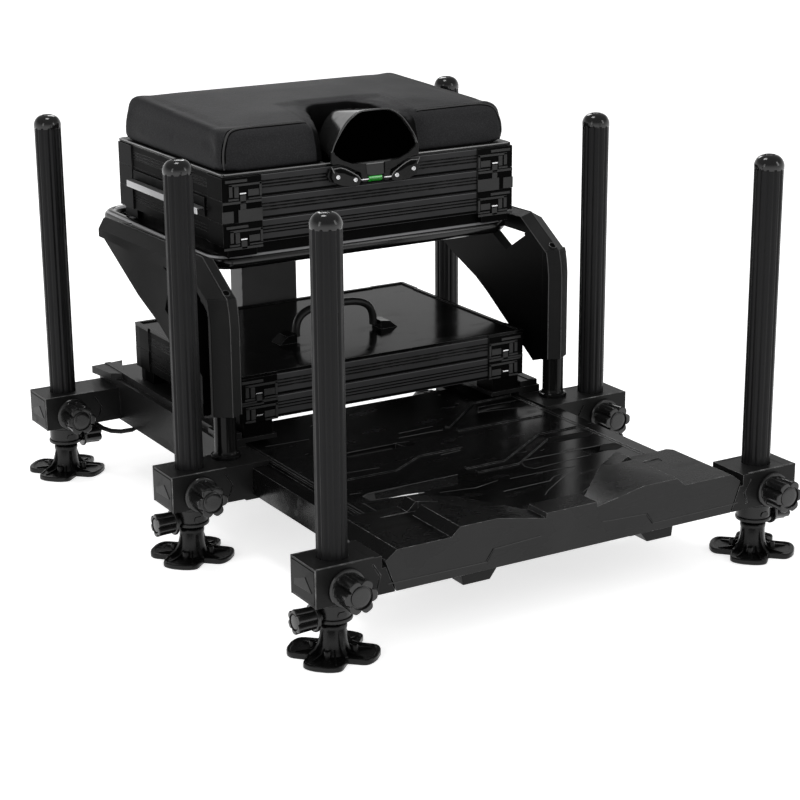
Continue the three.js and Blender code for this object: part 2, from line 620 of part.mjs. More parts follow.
// ---------------------------------------------------------------- posts, side frames and deck
const postRadius = 14.5;
const postReach = 6; // outside of a channel to the post axis
const postX = railOuterX + postReach;
const postSetback = 11; // middle leg row to the post axis
const postFlangeRadius = 19.5;
const postFlange = 4;
const postTopZ = 290;
const postSides = 16;

const frameInnerInset = 12; // outside of a channel to the inner face of a side frame
const frameRidgeRun = 16;
const frameWidth = 36;
const frameInnerX = railOuterX - frameInnerInset;
const frameRidgeX = frameInnerX + frameRidgeRun;
const frameOuterX = frameInnerX + frameWidth;
const frameInset = 8; // the front and top edges fall back from the ridge to the inner face
const frameOuterInset = 14;
const frameFrontRun = -9; // middle leg row to the front of the side frames
const frameDepth = 390;
const frameFootZ = 163;
const frameHeight = 208;
const frameRecess = 7; // inner face
const frameOuterRecess = 14;
const frameStep = 2; // shallow step beside the front column
const frameEndRun = 26; // rear end of the outer face, cut back to the ridge
const frameOutlineShares = [[0.99, 0.976], [0.191, 1], [0.018, 0.798], [0, 0.067], [0.09, 0.03], [0.136, 0],
  [0.447, 0.365], [0.52, 0.438], [0.691, 0.562], [1, 0.861]];
const frameEdgeShares = [[0, -0.75], [0.3, -0.75], [0.8, -0.4], [1, 0], [0.4, 0], [0, 0], [0, 0], [0, 0], [0, 0], [0, 0]];
const frameWindowShares = [[0.533, 0.87], [0.427, 0.808], [0.319, 0.702], [0.168, 0.875]];
const frameStepShares = [[0.15, 0.842], [0.08, 0.755], [0.046, 0.7], [0.046, 0.02], [0.2, 0.02], [0.2, 0.875], [0.183, 0.875]];
const frameRecessShares = [[0.183, 0.875], [0.115, 0.784], [0.115, 0.428], [0.115, -0.2], [1.2, -0.2], [1.2, 0.82], [0.96, 0.875]];

const postY = midRowY + postSetback;
function makePost(hand) {
  const profile = [[0, armTopZ + gap], [postFlangeRadius, armTopZ + gap], [postFlangeRadius, armTopZ + gap + postFlange],
    [postRadius, armTopZ + gap + postFlange + weld], [postRadius, postTopZ], [0, postTopZ]];
  return turned(profile, postSides, [hand * postX, postY, 0]);
}

function makeSideFrame(hand) {
  const frontY = midRowY + frameFrontRun;
  const outline = spread(frameOutlineShares, frontY, frameDepth, frameFootZ, frameHeight);
  const ring = (x, inset) => outline.map(([y, z], i) =>
    [hand * x, y + inset * frameEdgeShares[i][0], z + inset * frameEdgeShares[i][1]]);
  const body = loft([ring(frameInnerX, frameInset), ring(frameRidgeX, 0), ring(frameOuterX, frameOuterInset)], fromSide);
  const recess = spread(frameRecessShares, frontY, frameDepth, frameFootZ, frameHeight);
  const window = spread(frameWindowShares, frontY, frameDepth, frameFootZ, frameHeight);
  const bore = rod(postRadius + slideGap, postTopZ + weld, postSides, [hand * postX, postY, 0], [0, 0, 1]);
  const step = spread(frameStepShares, frontY, frameDepth, frameFootZ, frameHeight);
  const rearY = frontY + frameDepth;
  const end = prism('z', [[hand * frameOuterX, rearY - frameEndRun], [hand * (frameOuterX + cutRun), rearY - frameEndRun],
    [hand * (frameOuterX + cutRun), rearY + cutRun], [hand * frameRidgeX, rearY + cutRun], [hand * frameRidgeX, rearY]],
    frameFootZ, frameFootZ + frameHeight + cutRun);
  return cut(body, end,
    prism('x', recess, hand * (frameInnerX - cutRun), hand * (frameInnerX + frameRecess)),
    prism('x', recess, hand * (frameOuterX + cutRun), hand * (frameOuterX - frameOuterRecess)),
    prism('x', step, hand * (frameOuterX + cutRun), hand * (frameOuterX - frameStep)),
    prism('x', window, hand * (frameInnerX - cutRun), hand * (frameOuterX + cutRun)),
    bore);
}
for (const [side, hand] of sides) {
  seatBox.add(toMesh(`frame_post_${side}`, makePost(hand), powderCoat));
  seatBox.add(toMesh(`side_frame_${side}`, makeSideFrame(hand), mouldedMatt));
}

const deckTubeZ = 354;
const deckStubRun = 14; // deck tube axis to a side frame
const deckHalfWidth = frameInnerX - deckStubRun;
const deckFrontSetback = 15; // seat stack front to the front tube
const deckCrossInset = 16; // seat stack rear to the cross tube over the rear support
const deckBend = 30;
const deckSides = 10;
const deckArcSteps = 3;
const deckStubRadius = 7;
const deckStubShares = [0.18, 0.7];

function makeDeck() {
  const frontY = seatFrontY + deckFrontSetback;
  const rearY = seatFrontY + moduleDepth + deckRearOverhang;
  const crossY = seatFrontY + moduleDepth - deckCrossInset;
  const halves = sides.map(([, hand]) => tube([[-hand * weld, frontY, deckTubeZ], [hand * deckHalfWidth, frontY, deckTubeZ],
    [hand * deckHalfWidth, rearY, deckTubeZ], [-hand * weld, rearY, deckTubeZ]], deckBend, deckTubeRadius, deckSides, deckArcSteps));
  const stubs = sides.flatMap(([, hand]) => deckStubShares.map((share) => rod(deckStubRadius,
    frameInnerX - gap - deckHalfWidth, deckSides, [hand * deckHalfWidth, frontY + share * (rearY - frontY), deckTubeZ],
    [hand, 0, 0])));
  return join(halves, stubs, rod(deckTubeRadius, 2 * deckHalfWidth, deckSides, [-deckHalfWidth, crossY, deckTubeZ], [1, 0, 0]));
}
seatBox.add(toMesh('deck_frame', makeDeck(), powderCoat));

// Rear support: an upright channel from the rear cross member to the deck.
const supportHalfWidth = 45;
const supportDepth = 37;
const supportWall = 4;
const supportSetback = 23; // rear leg row back to the face of the support
function makeSupport() {
  const y0 = rearRowY - supportSetback;
  const y1 = y0 + supportDepth;
  const inner = supportHalfWidth - supportWall;
  return prism('z', [[-supportHalfWidth, y0], [supportHalfWidth, y0], [supportHalfWidth, y1], [inner, y1],
    [inner, y0 + supportWall], [-inner, y0 + supportWall], [-inner, y1], [-supportHalfWidth, y1]],
    armTopZ + gap, deckTubeZ - deckTubeRadius - gap);
}
seatBox.add(toMesh('rear_support', makeSupport(), powderCoat));

// ---------------------------------------------------------------- tray modules
const cornerRunX = 56.5; // corner block along the front
const cornerRunY = 44; // corner block along the side
const cornerProud = 2;
const trayWall = 3;
const trayFloor = 3;
const grooveHeight = 1.6;
const grooveDepth = 1;
const grooveShares = [0.38, 0.52, 0.66];

// Relief of the clip on the front of a corner block, in shares of the block: two grooves and a slot with a pin.
const clipGrooveShares = [[[0.24, 0.22], [0.24, 0.74], [0.92, 0.74], [0.92, 0.3], [0.76, 0.3]], [[0.4, 0.24], [0.4, 0.54], [0.5, 0.54]]];
const clipSlotShares = [[0.54, 0.14], [0.7, 0.14], [0.7, 0.56], [0.54, 0.56]];
const clipGrooveWidth = 1.7;
const clipDepth = 1.2;
const clipSlotDepth = 2;
const clipPinShares = [[0.575, 0.2], [0.665, 0.2], [0.665, 0.36], [0.575, 0.36]];
const clipPinRise = 1.6;

function withClips(shell, frontY, baseZ) {
  const toBlock = (shares, hand) => spread(shares, hand * (moduleHalfWidth - cornerRunX), hand * cornerRunX, baseZ, moduleHeight);
  const cuts = sides.flatMap(([, hand]) => [
    ...clipGrooveShares.map((shares) => prism('y', band(toBlock(shares, hand), clipGrooveWidth), frontY - cutRun, frontY + clipDepth)),
    prism('y', toBlock(clipSlotShares, hand), frontY - cutRun, frontY + clipSlotDepth),
  ]);
  const pins = sides.map(([, hand]) =>
    prism('y', toBlock(clipPinShares, hand), frontY + clipSlotDepth - clipPinRise, frontY + clipSlotDepth + gap));
  return join(cut(shell, cuts), pins);
}

function modulePlan(frontY, shrink = 0) {
  const [w, c] = [moduleHalfWidth - shrink, moduleHalfWidth - cornerRunX];
  const side = moduleHalfWidth - cornerProud - shrink;
  const [y0, y1] = [frontY + shrink, frontY + moduleDepth - shrink];
  const [f0, f1] = [y0 + cornerProud, y1 - cornerProud];
  const [s0, s1] = [frontY + cornerRunY, frontY + moduleDepth - cornerRunY];
  return [[-w, y0], [-c, y0], [-c, f0], [c, f0], [c, y0], [w, y0], [w, s0], [side, s0], [side, s1], [w, s1], [w, y1],
    [c, y1], [c, f1], [-c, f1], [-c, y1], [-w, y1], [-w, s1], [-side, s1], [-side, s0], [-w, s0]];
}

function moduleShell(frontY, baseZ, floor, footZ) {
  const topZ = baseZ + moduleHeight;
  const skinX = moduleHalfWidth - cornerProud;
  const cornerX = moduleHalfWidth - cornerRunX;
  const [skin0, skin1] = [frontY + cornerProud, frontY + moduleDepth - cornerProud];
  const [s0, s1] = [frontY + cornerRunY, frontY + moduleDepth - cornerRunY];
  const body = prism('z', modulePlan(frontY), baseZ, topZ);
  const cavity = block(-skinX + trayWall, skinX - trayWall, skin0 + trayWall, skin1 - trayWall, baseZ + floor, topZ + cutRun);
  const grooves = grooveShares.flatMap((share) => {
    const z = baseZ + share * moduleHeight;
    const top = z + grooveHeight;
    return [
      block(-cornerX, cornerX, skin0 - cornerProud, skin0 + grooveDepth, z, top),
      block(-cornerX, cornerX, skin1 - grooveDepth, skin1 + cornerProud, z, top),
      block(-skinX - cornerProud, -skinX + grooveDepth, s0, s1, z, top),
      block(skinX - grooveDepth, skinX + cornerProud, s0, s1, z, top),
    ];
  });
  const feet = footZ === null ? [] : sides.flatMap(([, hand]) => [frontY + weld, frontY + moduleDepth - weld - footBlockDepth]
    .map((y) => prism('z', [[hand * footBlockInnerX, y], [hand * footBlockOuterX, y],
      [hand * footBlockOuterX, y + footBlockDepth], [hand * footBlockInnerX, y + footBlockDepth]], footZ, baseZ + weld)));
  return join(cut(body, cavity, grooves), feet);
}

const lowBaseZ = 150;
const lowFootZ = shelfTopZ + gap;
const lidThick = 4;
const lowUpperZ = lowBaseZ + modulePitch;
const lowLidZ = lowUpperZ + modulePitch;
seatBox.add(toMesh('lower_tray_bottom', withClips(moduleShell(lowFrontY, lowBaseZ, trayFloor, lowFootZ),
  lowFrontY, lowBaseZ), mouldedMatt));
seatBox.add(toMesh('lower_tray_top', withClips(moduleShell(lowFrontY, lowUpperZ, trayFloor, null),
  lowFrontY, lowUpperZ), mouldedMatt));

const seatFootZ = deckTubeZ + deckTubeRadius + gap;
const seatBaseZ = 378.3;
const cabinetZ = seatBaseZ + modulePitch;
const topTrayZ = cabinetZ + modulePitch;
const seatLidZ = topTrayZ + modulePitch;
seatBox.add(toMesh('upper_tray_bottom', withClips(moduleShell(seatFrontY, seatBaseZ, trayFloor, seatFootZ),
  seatFrontY, seatBaseZ), mouldedMatt));
seatBox.add(toMesh('top_tray', withClips(moduleShell(seatFrontY, topTrayZ, trayFloor, null),
  seatFrontY, topTrayZ), mouldedMatt));

// ---------------------------------------------------------------- cabinet with its side drawer
const drawerStart = 53; // seat stack front to the front edge of the drawer face
const drawerFaceWidth = 224;
const drawerFaceThick = 2.2;
const drawerFaceInset = 3; // drawer face past the opening at the top and the ends
const drawerFaceFoot = 1; // the same at its foot
const drawerRearRoom = 21; // of the width of the module
const drawerLength = 2 * moduleHalfWidth - drawerRearRoom;
const drawerWall = 2.5;
const cabinetFloor = 2;
const pullReach = 10.5;
const pullDrop = 9;
const pullSheet = 2.4;

const drawerY0 = seatFrontY + drawerStart;
const drawerY1 = drawerY0 + drawerFaceWidth;
const faceX = -(moduleHalfWidth - cornerProud) - gap; // back of the drawer face
const faceZ0 = cabinetZ + cabinetFloor - drawerFaceFoot;
const faceZ1 = cabinetZ + moduleHeight - drawerFaceInset;

function makeCabinet() {
  const shell = moduleShell(seatFrontY, cabinetZ, cabinetFloor, null);
  const opening = block(faceX - cutRun, faceX + cutRun + trayWall, drawerY0 + drawerFaceInset, drawerY1 - drawerFaceInset,
    cabinetZ + cabinetFloor, faceZ1 - gap);
  return cut(shell, opening);
}

function makeDrawer() {
  const y0 = drawerY0 + drawerFaceInset + gap;
  const y1 = drawerY1 - drawerFaceInset - gap;
  const z0 = cabinetZ + cabinetFloor + gap;
  const z1 = faceZ1 - 3 * gap;
  const box = block(faceX - gap, faceX + drawerLength, y0, y1, z0, z1);
  const face = block(faceX - drawerFaceThick, faceX, drawerY0, drawerY1, faceZ0, faceZ1);
  const room = block(faceX + drawerWall, faceX + drawerLength - drawerWall, y0 + drawerWall, y1 - drawerWall,
    z0 + drawerWall, z1 + cutRun);
  return cut(join(box, face), room);
}

function makePull() {
  const x0 = faceX - drawerFaceThick - gap;
  const top = (faceZ0 + faceZ1) / 2 + gap;
  const outline = [[x0, top], [x0 - pullReach, top], [x0 - pullReach, top - pullDrop],
    [x0 - pullReach + pullSheet, top - pullDrop], [x0 - pullReach + pullSheet, top - pullSheet], [x0, top - pullSheet]];
  return prism('y', outline, drawerY0, drawerY1);
}
seatBox.add(toMesh('drawer_cabinet', makeCabinet(), mouldedMatt));
seatBox.add(toMesh('side_drawer', makeDrawer(), mouldedMatt));
seatBox.add(toMesh('drawer_handle', makePull(), brightAlloy));

// ---------------------------------------------------------------- low lid with its carry handle
const lidCornerRise = 2;
const handleShiftX = -8;
const handleSetback = 126; // low stack front to the handle pivot
const handlePivotLift = 7.6; // lid face to the pivot axis
const handleHalfSpan = 60;
const handleTopLift = 47;
const handleFootDrop = 5.8; // pivot axis to the foot of the handle
const handleThick = 12;
const handlePinRadius = 2.4;
const handlePinRun = 9;
const baseRun = 29;
const baseDepth = 26;
const baseHeight = 10;
const handleOuterShares = [[0, 1], [0.45, 0.96], [0.76, 0.83], [0.95, 0.6], [1.07, 0.25], [1.1, -1]];
const handleInnerShares = [[0, 0.86], [0.38, 0.82], [0.62, 0.71], [0.79, 0.52], [0.9, 0.2], [0.93, -1]];

const lidTopZ = lowLidZ + lidThick;
const handleY = lowFrontY + handleSetback;
const handlePivotZ = lidTopZ + handlePivotLift;
const handleFootX = handleHalfSpan * handleOuterShares[5][0];

function makeLowLid() {
  const plate = prism('z', modulePlan(lowFrontY), lowLidZ, lidTopZ);
  const room = prism('z', modulePlan(lowFrontY, cornerProud + trayWall), lidTopZ - lidCornerRise, lidTopZ + cutRun);
  const bases = sides.map(([, hand]) => {
    const x0 = handleShiftX + hand * (handleFootX + gap);
    const outline = [[x0, lidTopZ - lidCornerRise - weld], [x0, lidTopZ + baseHeight], [x0 + hand * baseRun / 2, lidTopZ + baseHeight - weld],
      [x0 + hand * baseRun, lidTopZ - lidCornerRise - weld]];
    return prism('y', outline, handleY - baseDepth / 2, handleY + baseDepth / 2);
  });
  const pins = sides.map(([, hand]) => rod(handlePinRadius, handlePinRun + weld, legSides,
    [handleShiftX + hand * (handleFootX + weld), handleY, handlePivotZ], [-hand, 0, 0]));
  return join(cut(plate, room), bases, pins);
}

function makeHandle() {
  const toArch = (shares) => shares.map(([u, v]) =>
    [handleShiftX + handleHalfSpan * u, handlePivotZ + (v < 0 ? handleFootDrop : handleTopLift - handlePivotLift) * v]);
  const [outer, inner] = [handleOuterShares, handleInnerShares].map((right) =>
    toArch([...mirrorX(right.slice(1)).reverse(), ...right]));
  const arch = prism('y', [...outer, ...inner.reverse()], handleY - handleThick / 2, handleY + handleThick / 2);
  const bores = sides.map(([, hand]) => rod(handlePinRadius + gap, handlePinRun + cutRun, legSides,
    [handleShiftX + hand * (handleFootX + weld), handleY, handlePivotZ], [-hand, 0, 0]));
  return cut(arch, bores);
}
seatBox.add(toMesh('lower_lid', makeLowLid(), mouldedMatt));
seatBox.add(toMesh('carry_handle', makeHandle(), mouldedMatt));

// ---------------------------------------------------------------- seat lid and cushion
const cushionSideInset = 7.5; // side of a module to the cushion
const cushionHalfWidth = moduleHalfWidth - cushionSideInset;
const cushionFrontInset = 11; // seat stack front to the cushion
const cushionDepth = 310;
const cushionFrontHeight = 46;
const cushionRearHeight = 57;
const cushionCrown = 9;
const cushionCorner = 24;
const cushionLean = 22; // how far the front falls back from foot to top
const cushionSideLean = 12;
const cushionCornerSteps = 4;
const cushionRingShares = [[0, 0.06, 0], [0.07, 0, 0], [0.4, 0.12, 0], [0.75, 0.38, 0], [0.9, 0.62, 0], [1, 1, 0]];
const cushionCrownShares = [[0.12, 0.3], [0.45, 0.8], [0.8, 1]];
const notchShares = [[0.325, -0.2], [0.315, 0.05], [0.215, 0.27], [0.17, 0.31], [0.1, 0.326]];

const cushionY0 = seatFrontY + cushionFrontInset;
const cushionZ0 = seatLidZ + lidThick + gap;

function notchCut(z0, z1) {
  const right = spread(notchShares, 0, cushionHalfWidth, cushionY0, cushionDepth);
  return prism('z', doubled(right.reverse()).reverse(), z0, z1);
}

function makeCushion() {
  const [cx, cy] = [0, cushionY0 + cushionDepth / 2];
  const outline = (insetX, insetY, corner) => {
    const [w, d] = [cushionHalfWidth - insetX - corner, cushionDepth / 2 - insetY - corner];
    const points = [];
    for (let quarter = 0; quarter < 4; quarter += 1) {
      const [sx, sy] = [[1, 1], [-1, 1], [-1, -1], [1, -1]][quarter];
      for (let k = 0; k <= cushionCornerSteps; k += 1) {
        const angle = ((quarter + k / cushionCornerSteps) * Math.PI) / 2;
        points.push([cx + sx * w + corner * Math.cos(angle), cy + sy * d + corner * Math.sin(angle)]);
      }
    }
    return points;
  };
  const topAt = (y) => cushionFrontHeight + ((cushionRearHeight - cushionFrontHeight) * (y - cushionY0)) / cushionDepth;
  const rings = cushionRingShares.map(([height, lean]) =>
    outline(cushionSideLean * lean, cushionLean * lean, cushionCorner).map(([x, y]) => [x, y, cushionZ0 + height * topAt(y)]));
  for (const [inset, crown] of cushionCrownShares) {
    const insetX = cushionSideLean + inset * (cushionHalfWidth - cushionSideLean - cushionCorner);
    const insetY = cushionLean + inset * (cushionDepth / 2 - cushionLean - cushionCorner);
    rings.push(outline(insetX, insetY, cushionCorner * (1 - inset / 2)).map(([x, y]) =>
      [x, y, cushionZ0 + topAt(y) + crown * cushionCrown]));
  }
  return cut(loft(rings, inPlan), notchCut(cushionZ0 - cutRun, cushionZ0 + 2 * cushionRearHeight));
}

function makeSeatLid() {
  const x = moduleHalfWidth - cornerProud;
  const plate = block(-x, x, seatFrontY + cornerProud, seatFrontY + moduleDepth, seatLidZ, seatLidZ + lidThick);
  return cut(plate, notchCut(seatLidZ - cutRun, seatLidZ + lidThick + cutRun));
}
seatBox.add(toMesh('seat_lid', makeSeatLid(), mouldedMatt));
seatBox.add(toMesh('seat_cushion', makeCushion(), fabric));

// ---------------------------------------------------------------- pole cup, bracket and level vial
const cupHalfWidth = 66;
const cupHeight = 68;
const cupBaseZ = 470;
const cupFrontRun = -7; // seat stack front to the rim plane
const cupDepth = 92;
const cupRearShare = 0.66;
const cupWall = 3;
const cupSectionShares = [[0.12, 1], [0.4, 0.985], [0.64, 0.92], [0.84, 0.74], [0.96, 0.48], [1, 0.3], [0.96, 0.16], [0.8, 0.05],
  [0.5, 0]];
const chinTopHalf = 42;
const chinFootHalf = 20.5;
const pinZ = 446.5;
const pinRadius = 1.9;
const pinRun = 2; // rim plane to the pin axis
const lugRadius = 5;
const lugInnerX = 12.5;
const vialRadius = 4.5;
const vialHalf = 11;
const chinBack = 2.5; // rim plane to the back of the chin
const earWidth = 48;
const earInnerX = 22;
const earHeight = 23;
const earFootZ = 441;
const earShares = [[0.04, 0.1], [0.36, 0], [0.9, 0.26], [1, 0.62], [0.92, 1], [0.74, 0.96], [0.36, 0.68], [0.04, 0.5]];
const strapThick = 1.4;

const cupY = seatFrontY + cupFrontRun;
const pinY = cupY + pinRun;

function cupSolid(inset, y0, y1) {
  const ring = (y) => {
    const along = (y - cupY) / cupDepth;
    const scale = 1 - (1 - cupRearShare) * along;
    const [w, h] = [cupHalfWidth * scale - inset, cupHeight * (1 - (1 - cupRearShare) * along / 2) - 2 * inset];
    const right = spread(cupSectionShares, 0, w, cupBaseZ + inset + 2 * along, h);
    const left = mirrorX(right).reverse();
    return [...right, ...left].map(([x, z]) => [x, y, z]);
  };
  return loft([ring(y0), ring((y0 + y1) / 2), ring(y1)], fromFront);
}

function makeCup() {
  const shell = cut(cupSolid(0, cupY, cupY + cupDepth), cupSolid(cupWall, cupY - cupWall, cupY + cupDepth - cupWall));
  const chin = prism('y', [[-chinFootHalf, pinZ], [chinFootHalf, pinZ], [chinTopHalf, cupBaseZ + cupWall], [-chinTopHalf, cupBaseZ + cupWall]],
    cupY - cupWall / 2, cupY + chinBack);
  const window = block(-lugInnerX, lugInnerX, cupY - cutRun, cupY + cutRun, pinZ - cutRun, pinZ + lugRadius + 2 * weld);
  const lugs = sides.map(([, hand]) => rod(lugRadius, chinFootHalf - lugInnerX, legSides, [hand * lugInnerX, pinY, pinZ], [hand, 0, 0]));
  const holes = sides.map(([, hand]) => rod(pinRadius + gap, chinFootHalf, legSides, [hand * (lugInnerX - weld), pinY, pinZ], [hand, 0, 0]));
  return cut(join(cut(join(shell, chin), window), lugs), holes);
}

function makeBracket() {
  const faceY = seatFrontY + cornerProud - gap;
  const ears = sides.map(([, hand]) => prism('y',
    spread(earShares, hand * earInnerX, hand * earWidth, earFootZ, earHeight), cupY + chinBack + gap, faceY));
  const strap = block(-earInnerX - cutRun, earInnerX + cutRun, faceY - strapThick, faceY, pinZ - lugRadius, pinZ + lugRadius);
  const pins = sides.map(([, hand]) => rod(pinRadius, earInnerX + cutRun - vialHalf - gap, legSides,
    [hand * (vialHalf + gap), pinY, pinZ], [hand, 0, 0]));
  return join(ears, strap, pins);
}
seatBox.add(toMesh('pole_cup', makeCup(), mouldedGloss));
seatBox.add(toMesh('cup_bracket', makeBracket(), mouldedMatt));
seatBox.add(toMesh('level_vial', rod(vialRadius, 2 * vialHalf, legSides, [-vialHalf, pinY, pinZ], [1, 0, 0]), vialGreen));

export default seatBox;
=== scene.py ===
import math

import bmesh
import bpy
from mathutils import Matrix, Vector
from mathutils.bvhtree import BVHTree


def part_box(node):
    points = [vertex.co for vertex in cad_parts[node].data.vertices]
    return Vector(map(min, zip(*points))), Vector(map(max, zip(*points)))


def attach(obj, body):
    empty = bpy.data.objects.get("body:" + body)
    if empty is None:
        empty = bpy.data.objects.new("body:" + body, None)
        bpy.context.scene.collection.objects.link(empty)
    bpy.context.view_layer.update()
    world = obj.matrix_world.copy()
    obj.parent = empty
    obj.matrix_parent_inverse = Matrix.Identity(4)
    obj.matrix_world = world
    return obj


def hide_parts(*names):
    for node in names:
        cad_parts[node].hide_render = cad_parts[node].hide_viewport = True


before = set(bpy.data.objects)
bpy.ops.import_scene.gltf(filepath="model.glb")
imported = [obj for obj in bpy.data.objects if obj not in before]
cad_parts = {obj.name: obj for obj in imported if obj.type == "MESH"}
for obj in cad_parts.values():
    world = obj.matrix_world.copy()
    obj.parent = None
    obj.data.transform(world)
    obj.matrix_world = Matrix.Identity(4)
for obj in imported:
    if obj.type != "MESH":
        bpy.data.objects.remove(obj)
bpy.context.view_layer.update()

# ---- studio
# White floor and white surroundings, one broad lamp over the seat and two weaker ones beside it.
# The camera stands low, off the front left corner, and looks down a little.


class Tap:
    """One output of a material's nodes. Sums, products and comparisons of taps add Math nodes."""

    def __init__(self, socket):
        self.socket = socket

    def node(self, kind, settings=None, sockets=None, output=0):
        """Adds a node of that type: its settings first, then a value or a tap for each named socket."""
        made = self.socket.id_data.nodes.new(kind)
        for name, value in (settings or {}).items():
            setattr(made, name, value)
        for name, value in (sockets or {}).items():
            if isinstance(value, Tap):
                made.id_data.links.new(value.socket, made.inputs[name])
            else:
                made.inputs[name].default_value = value
        return Tap(made.outputs[output])

    def maths(self, operation, first, second=0.0):
        """One Math node on two values or taps."""
        return self.node("ShaderNodeMath", {"operation": operation}, {0: first, 1: second})

    def __add__(self, other):
        return self.maths("ADD", self, other)

    __radd__ = __add__

    def __sub__(self, other):
        return self.maths("SUBTRACT", self, other)

    def __rsub__(self, other):
        return self.maths("SUBTRACT", other, self)

    def __mul__(self, other):
        return self.maths("MULTIPLY", self, other)

    __rmul__ = __mul__

    def __truediv__(self, other):
        return self.maths("DIVIDE", self, other)

    def __gt__(self, other):
        return self.maths("GREATER_THAN", self, other)

    def __lt__(self, other):
        return self.maths("LESS_THAN", self, other)

    def __abs__(self):
        return self.maths("ABSOLUTE", self)

    def along(self, axis):
        """Its coordinate on one axis."""
        return self.node("ShaderNodeSeparateXYZ", None, {"Vector": self}, axis)

    def noise(self, size, detail=3, stretch=(1, 1, 1)):
        """Cloudy variation about 0.5 with features of that size in metres, drawn out along an axis by stretch."""
        place = self.node("ShaderNodeMapping", None, {"Vector": self, "Scale": [1 / (size * s) for s in stretch]})
        return self.node("ShaderNodeTexNoise", None, {"Vector": place, "Scale": 1, "Detail": detail, "Roughness": 0.5})

    def ramp(self, low, high):
        """0 below low, 1 above high, smooth between."""
        return self.node("ShaderNodeMapRange", {"interpolation_type": "SMOOTHSTEP"},
                         {"Value": self, "From Min": low, "From Max": high})

    def tint(self, first, second):
        """A colour between two, by this value."""
        return self.node("ShaderNodeMix", {"data_type": "RGBA"},
                         {"Factor": self, "A": self.colour(first), "B": self.colour(second)}, "Result")

    def colour(self, tone):
        """A tap as it is, or red, green and blue with an alpha of 1."""
        return tone if isinstance(tone, Tap) else (*tone, 1)


def finish(name, roughness=0.5, metal=0.0, specular=0.5, coat=0.0):
    """A new material: its name, its constants, and a tap on the piece's own coordinates."""
    material = bpy.data.materials.new(name)
    material.use_nodes = True
    nodes = material.node_tree.nodes
    shader = nodes["Principled BSDF"].inputs
    for socket, value in {"Roughness": roughness, "Metallic": metal, "Specular IOR Level": specular,
                          "Coat Weight": coat, "Coat Roughness": 0.12}.items():
        shader[socket].default_value = value
    return material, shader, Tap(nodes.new("ShaderNodeTexCoord").outputs["Object"])


def feed(shader, **taps):
    """Links taps to the shader's sockets: base, rough, glow, and bump as (height tap, height in metres)."""
    sockets = {"base": "Base Color", "rough": "Roughness", "glow": "Emission Color"}
    for name, tap in taps.items():
        if name == "bump":
            height, rise = tap
            tap = height.node("ShaderNodeBump", None, {"Height": height, "Distance": rise, "Strength": 1})
            socket = shader["Normal"]
        else:
            socket = shader[sockets[name]]
        socket.id_data.links.new(tap.socket, socket)


azimuth, elevation, roll = math.radians(-30.635), math.radians(17.199), math.radians(-0.443)
back = Vector((math.sin(azimuth) * math.cos(elevation), -math.cos(azimuth) * math.cos(elevation), math.sin(elevation)))
across = Vector((0, 0, 1)).cross(back).normalized()
up = back.cross(across)
focal_length, stand = 93.16, (-1.3421, -2.2805, 0.9715)  # in millimetres, and in metres
camera = bpy.data.objects.new("camera", bpy.data.cameras.new("camera"))
camera.data.lens, camera.data.sensor_width = focal_length, 36
camera.matrix_world = Matrix.Translation(stand) @ Matrix((
    across * math.cos(roll) + up * math.sin(roll), up * math.cos(roll) - across * math.sin(roll),
    back)).transposed().to_4x4()
bpy.context.scene.collection.objects.link(camera)
bpy.context.scene.camera = camera
bpy.context.scene.view_settings.view_transform = "Standard"

world = bpy.data.worlds.new("surroundings")
world.use_nodes = True
bpy.context.scene.world = world
sky = world.node_tree.nodes["Background"]


def seen_by(tap):
    """1 where a ray shows the background: from the camera, a reflection or a transmission."""
    rays = tap.node("ShaderNodeLightPath").socket.node.outputs
    shown = tap.maths("MAXIMUM", Tap(rays["Is Glossy Ray"]), Tap(rays["Is Transmission Ray"]))
    return tap.maths("MAXIMUM", Tap(rays["Is Camera Ray"]), shown)


ground = Tap(world.node_tree.nodes.new("ShaderNodeTexCoord").outputs["Generated"])
height = ground.node("ShaderNodeSeparateXYZ", None, {"Vector": ground}, "Z")
mirrored = Tap(ground.node("ShaderNodeLightPath").socket.node.outputs["Is Glossy Ray"])
# 1 where it shows and 0.55 as light, and reflections see it darken with height
strength = seen_by(ground) * 0.45 + 0.55 - mirrored * height.ramp(0.02, 0.5) * 0.75
world.node_tree.links.new(strength.socket, sky.inputs["Strength"])
sky.inputs["Color"].default_value = (1, 1, 1, 1)

# each lamp's place, width and height in metres, and its power in watts
for name, place, wide, tall, power in (("top_lamp", (-0.3, 0.3, 2.8), 0.7, 0.7, 14.5),
                                       ("left_lamp", (-2.6, -1.0, 1.3), 0.5, 1.6, 6),
                                       ("right_lamp", (1.6, -2.2, 1.6), 0.5, 1.4, 8),
                                       ("back_lamp", (0.9, 2.2, 1.9), 0.8, 0.8, 12)):
    lamp = bpy.data.objects.new(name, bpy.data.lights.new(name, "AREA"))
    lamp.data.shape, lamp.data.size, lamp.data.size_y, lamp.data.energy = "RECTANGLE", wide, tall, power
    lamp.location = place
    lamp.rotation_euler = (Vector(place) - Vector((0, 0, 0.25))).to_track_quat("Z", "Y").to_euler()
    bpy.context.scene.collection.objects.link(lamp)

bpy.ops.mesh.primitive_plane_add(size=400)
floor = bpy.context.object
floor.name = "studio_floor"
paper, shader, place = finish("white_paper", 0.9, specular=0.0)
shader["Emission Strength"].default_value = 0.7
feed(shader, base=place.noise(0.4).tint((0.88, 0.88, 0.88), (0.9, 0.9, 0.9)),
     glow=seen_by(place).tint((0, 0, 0), (1, 1, 1)))
floor.data.materials.append(paper)

# ---- chassis
# Welded alloy channels, arms and cross members under a satin black powder coat.
# Its edges are broken by a small radius and drawn paler in patches, partly where the coat wears first and partly as a
# painted highlight.
mm = 0.001


